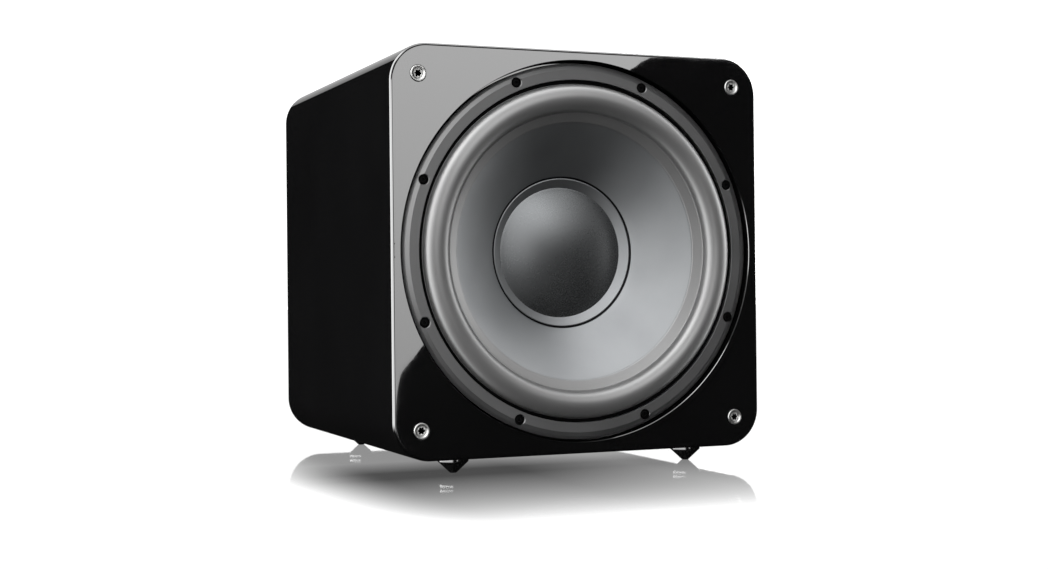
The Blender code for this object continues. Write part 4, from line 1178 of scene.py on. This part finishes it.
def driver_glow(az, el):
    """The measured patches, blended into each other."""
    a, e = math.radians(az), math.radians(el)
    spot = np.array((math.sin(a) * math.cos(e), -math.cos(a) * math.cos(e), math.sin(e)))
    apart = np.degrees(np.arccos(np.clip(PATCHES[:, :3] @ spot, -1.0, 1.0)))
    share = np.exp(-((apart / PATCHES[:, 4]) ** 2)) + 1e-9
    behind = max(0.0, min(1.0, (158.0 - abs(az)) / 18.0)) if el < 60 else 1.0
    below = max(0.0, min(1.0, (el + 70.0) / 12.0))
    return float((share * PATCHES[:, 3]).sum() / share.sum()) * behind * below


def bump_of(value, middle_at, half, soft):
    """1 within half of the middle, falling to 0 over soft."""
    t = max(0.0, min(1.0, (half + soft - abs(value - middle_at)) / soft))
    return t * t * (3 - 2 * t)


def left_glow(az, el):
    return 8.0 * bump_of(az, -80.0, 50.0, 14.0) * bump_of(el, 27.0, 33.0, 15.0)


def cabinet_glow(az, el):
    # Open towards the front, so the lid doesn't glare from behind.
    left = left_glow(az, el) * (1.0 - 0.96 * bump_of(az, -15.0, 40.0, 14.0) * bump_of(el, 25.0, 13.0, 5.0))
    top = 3.2 * max(0.0, min(1.0, (el - 46.0) / 16.0))
    front = 0.011 * bump_of(az, 25.0, 50.0, 20.0) * bump_of(el, 0.0, 35.0, 15.0)
    return 0.005 + front + max(left, top)


def ring_glow(az, el):
    """What the trim ring gets on top of the cabinet's light."""
    upper_left = 6.2 * bump_of(az, -32.0, 26.0, 14.0) * bump_of(el, 38.0, 22.0, 8.0)
    return max(0.0, upper_left - cabinet_glow(az, el), left_glow(az, el) - cabinet_glow(az, el))


# The main softbox in front: its lower right edge is the one mirrored in the front face.
REACH = 3.0
EDGE = [
    (0.3, -0.35), (0.788, -0.35), (0.794, -0.18), (0.800, -0.13), (0.810, -0.084), (0.821, -0.068), (0.847, -0.041), (0.868, -0.014),
    (0.905, 0.03), (1.49, 0.755), (1.528, 0.797), (1.553, 0.812), (1.574, 0.828), (1.604, 0.841), (1.68, 0.85), (2.1, 0.855), (2.1, 0.93),
    (-0.4, 0.93), (-0.4, 0.8), (0.2, 0.3),
]
mesh = bpy.data.meshes.new("main_softbox")
mesh.from_pydata([(x, 0.0, z) for x, z in EDGE], [], [tuple(range(len(EDGE)))])
softbox = bpy.data.objects.new("main_softbox", mesh)
softbox.location = (0.0, Y_FRONT - REACH, 0.0)
mesh.materials.append(glowing("softbox_cloth", 4.4, (-0.3, 0.85, 0.72, 1.05)))
# Only its first reflection shows, so none stands in the floor.
tree = softbox.data.materials[0].node_tree
path = tree.nodes.new("ShaderNodeLightPath")
first = tree.nodes.new("ShaderNodeMath")
first.operation = "LESS_THAN"
tree.links.new(path.outputs["Ray Depth"], first.inputs[0])
first.inputs[1].default_value = 1.5
share = tree.nodes.new("ShaderNodeMath")
share.operation = "MULTIPLY"
emit = next(node for node in tree.nodes if node.type == "EMISSION")
tree.links.new(emit.inputs["Strength"].links[0].from_socket, share.inputs[0])
tree.links.new(first.outputs[0], share.inputs[1])
tree.links.new(share.outputs[0], emit.inputs["Strength"])
scene.collection.objects.link(softbox)
softbox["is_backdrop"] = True
softbox.visible_camera = False
softbox.light_linking.receiver_collection = cabinet_light

light_dome("dome_driver", 5.0, driver_light, driver_glow)
light_dome("dome_cabinet", 5.5, cabinet_light, cabinet_glow)
light_dome("dome_ring", 5.2, ring_light, ring_glow)

# Behind and above: a sheet that brightens to the right, mirrored in the top left rounding.
mesh = bpy.data.meshes.new("back_sheet")
mesh.from_pydata([(-0.8, 0.0, 0.0), (0.8, 0.0, 0.0), (0.8, 0.0, 2.5), (-0.8, 0.0, 2.5)], [], [(0, 1, 2, 3)])
sheet = bpy.data.objects.new("back_sheet", mesh)
sheet.matrix_world = Matrix.Translation((-0.13, 3.0, 1.0)) @ Matrix.Rotation(math.pi / 2, 4, "Y")
mesh.materials.append(glowing("back_cloth", 0.45, (0.0, 1.03, 0.55, 1.3)))
scene.collection.objects.link(sheet)
sheet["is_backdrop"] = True
sheet.visible_camera = False
sheet.light_linking.receiver_collection = cabinet_light
card("back_right", (2.2, 2.4, 0.9), (0.0, 0.1, 0.2), 1.4, 1.6, 5.0)

scene.world = bpy.data.worlds.new("studio")
scene.world.use_nodes = True
scene.world.node_tree.nodes["Background"].inputs["Color"].default_value = (0.0, 0.0, 0.0, 1.0)
scene.view_settings.view_transform = "Standard"
scene.view_settings.look = "None"

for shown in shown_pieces():
    (driver_light if shown.name in DRIVER else cabinet_light).objects.link(shown)
    if shown.name == "trim_ring_turned" or shown.name.startswith("socket_"):
        ring_light.objects.link(shown)
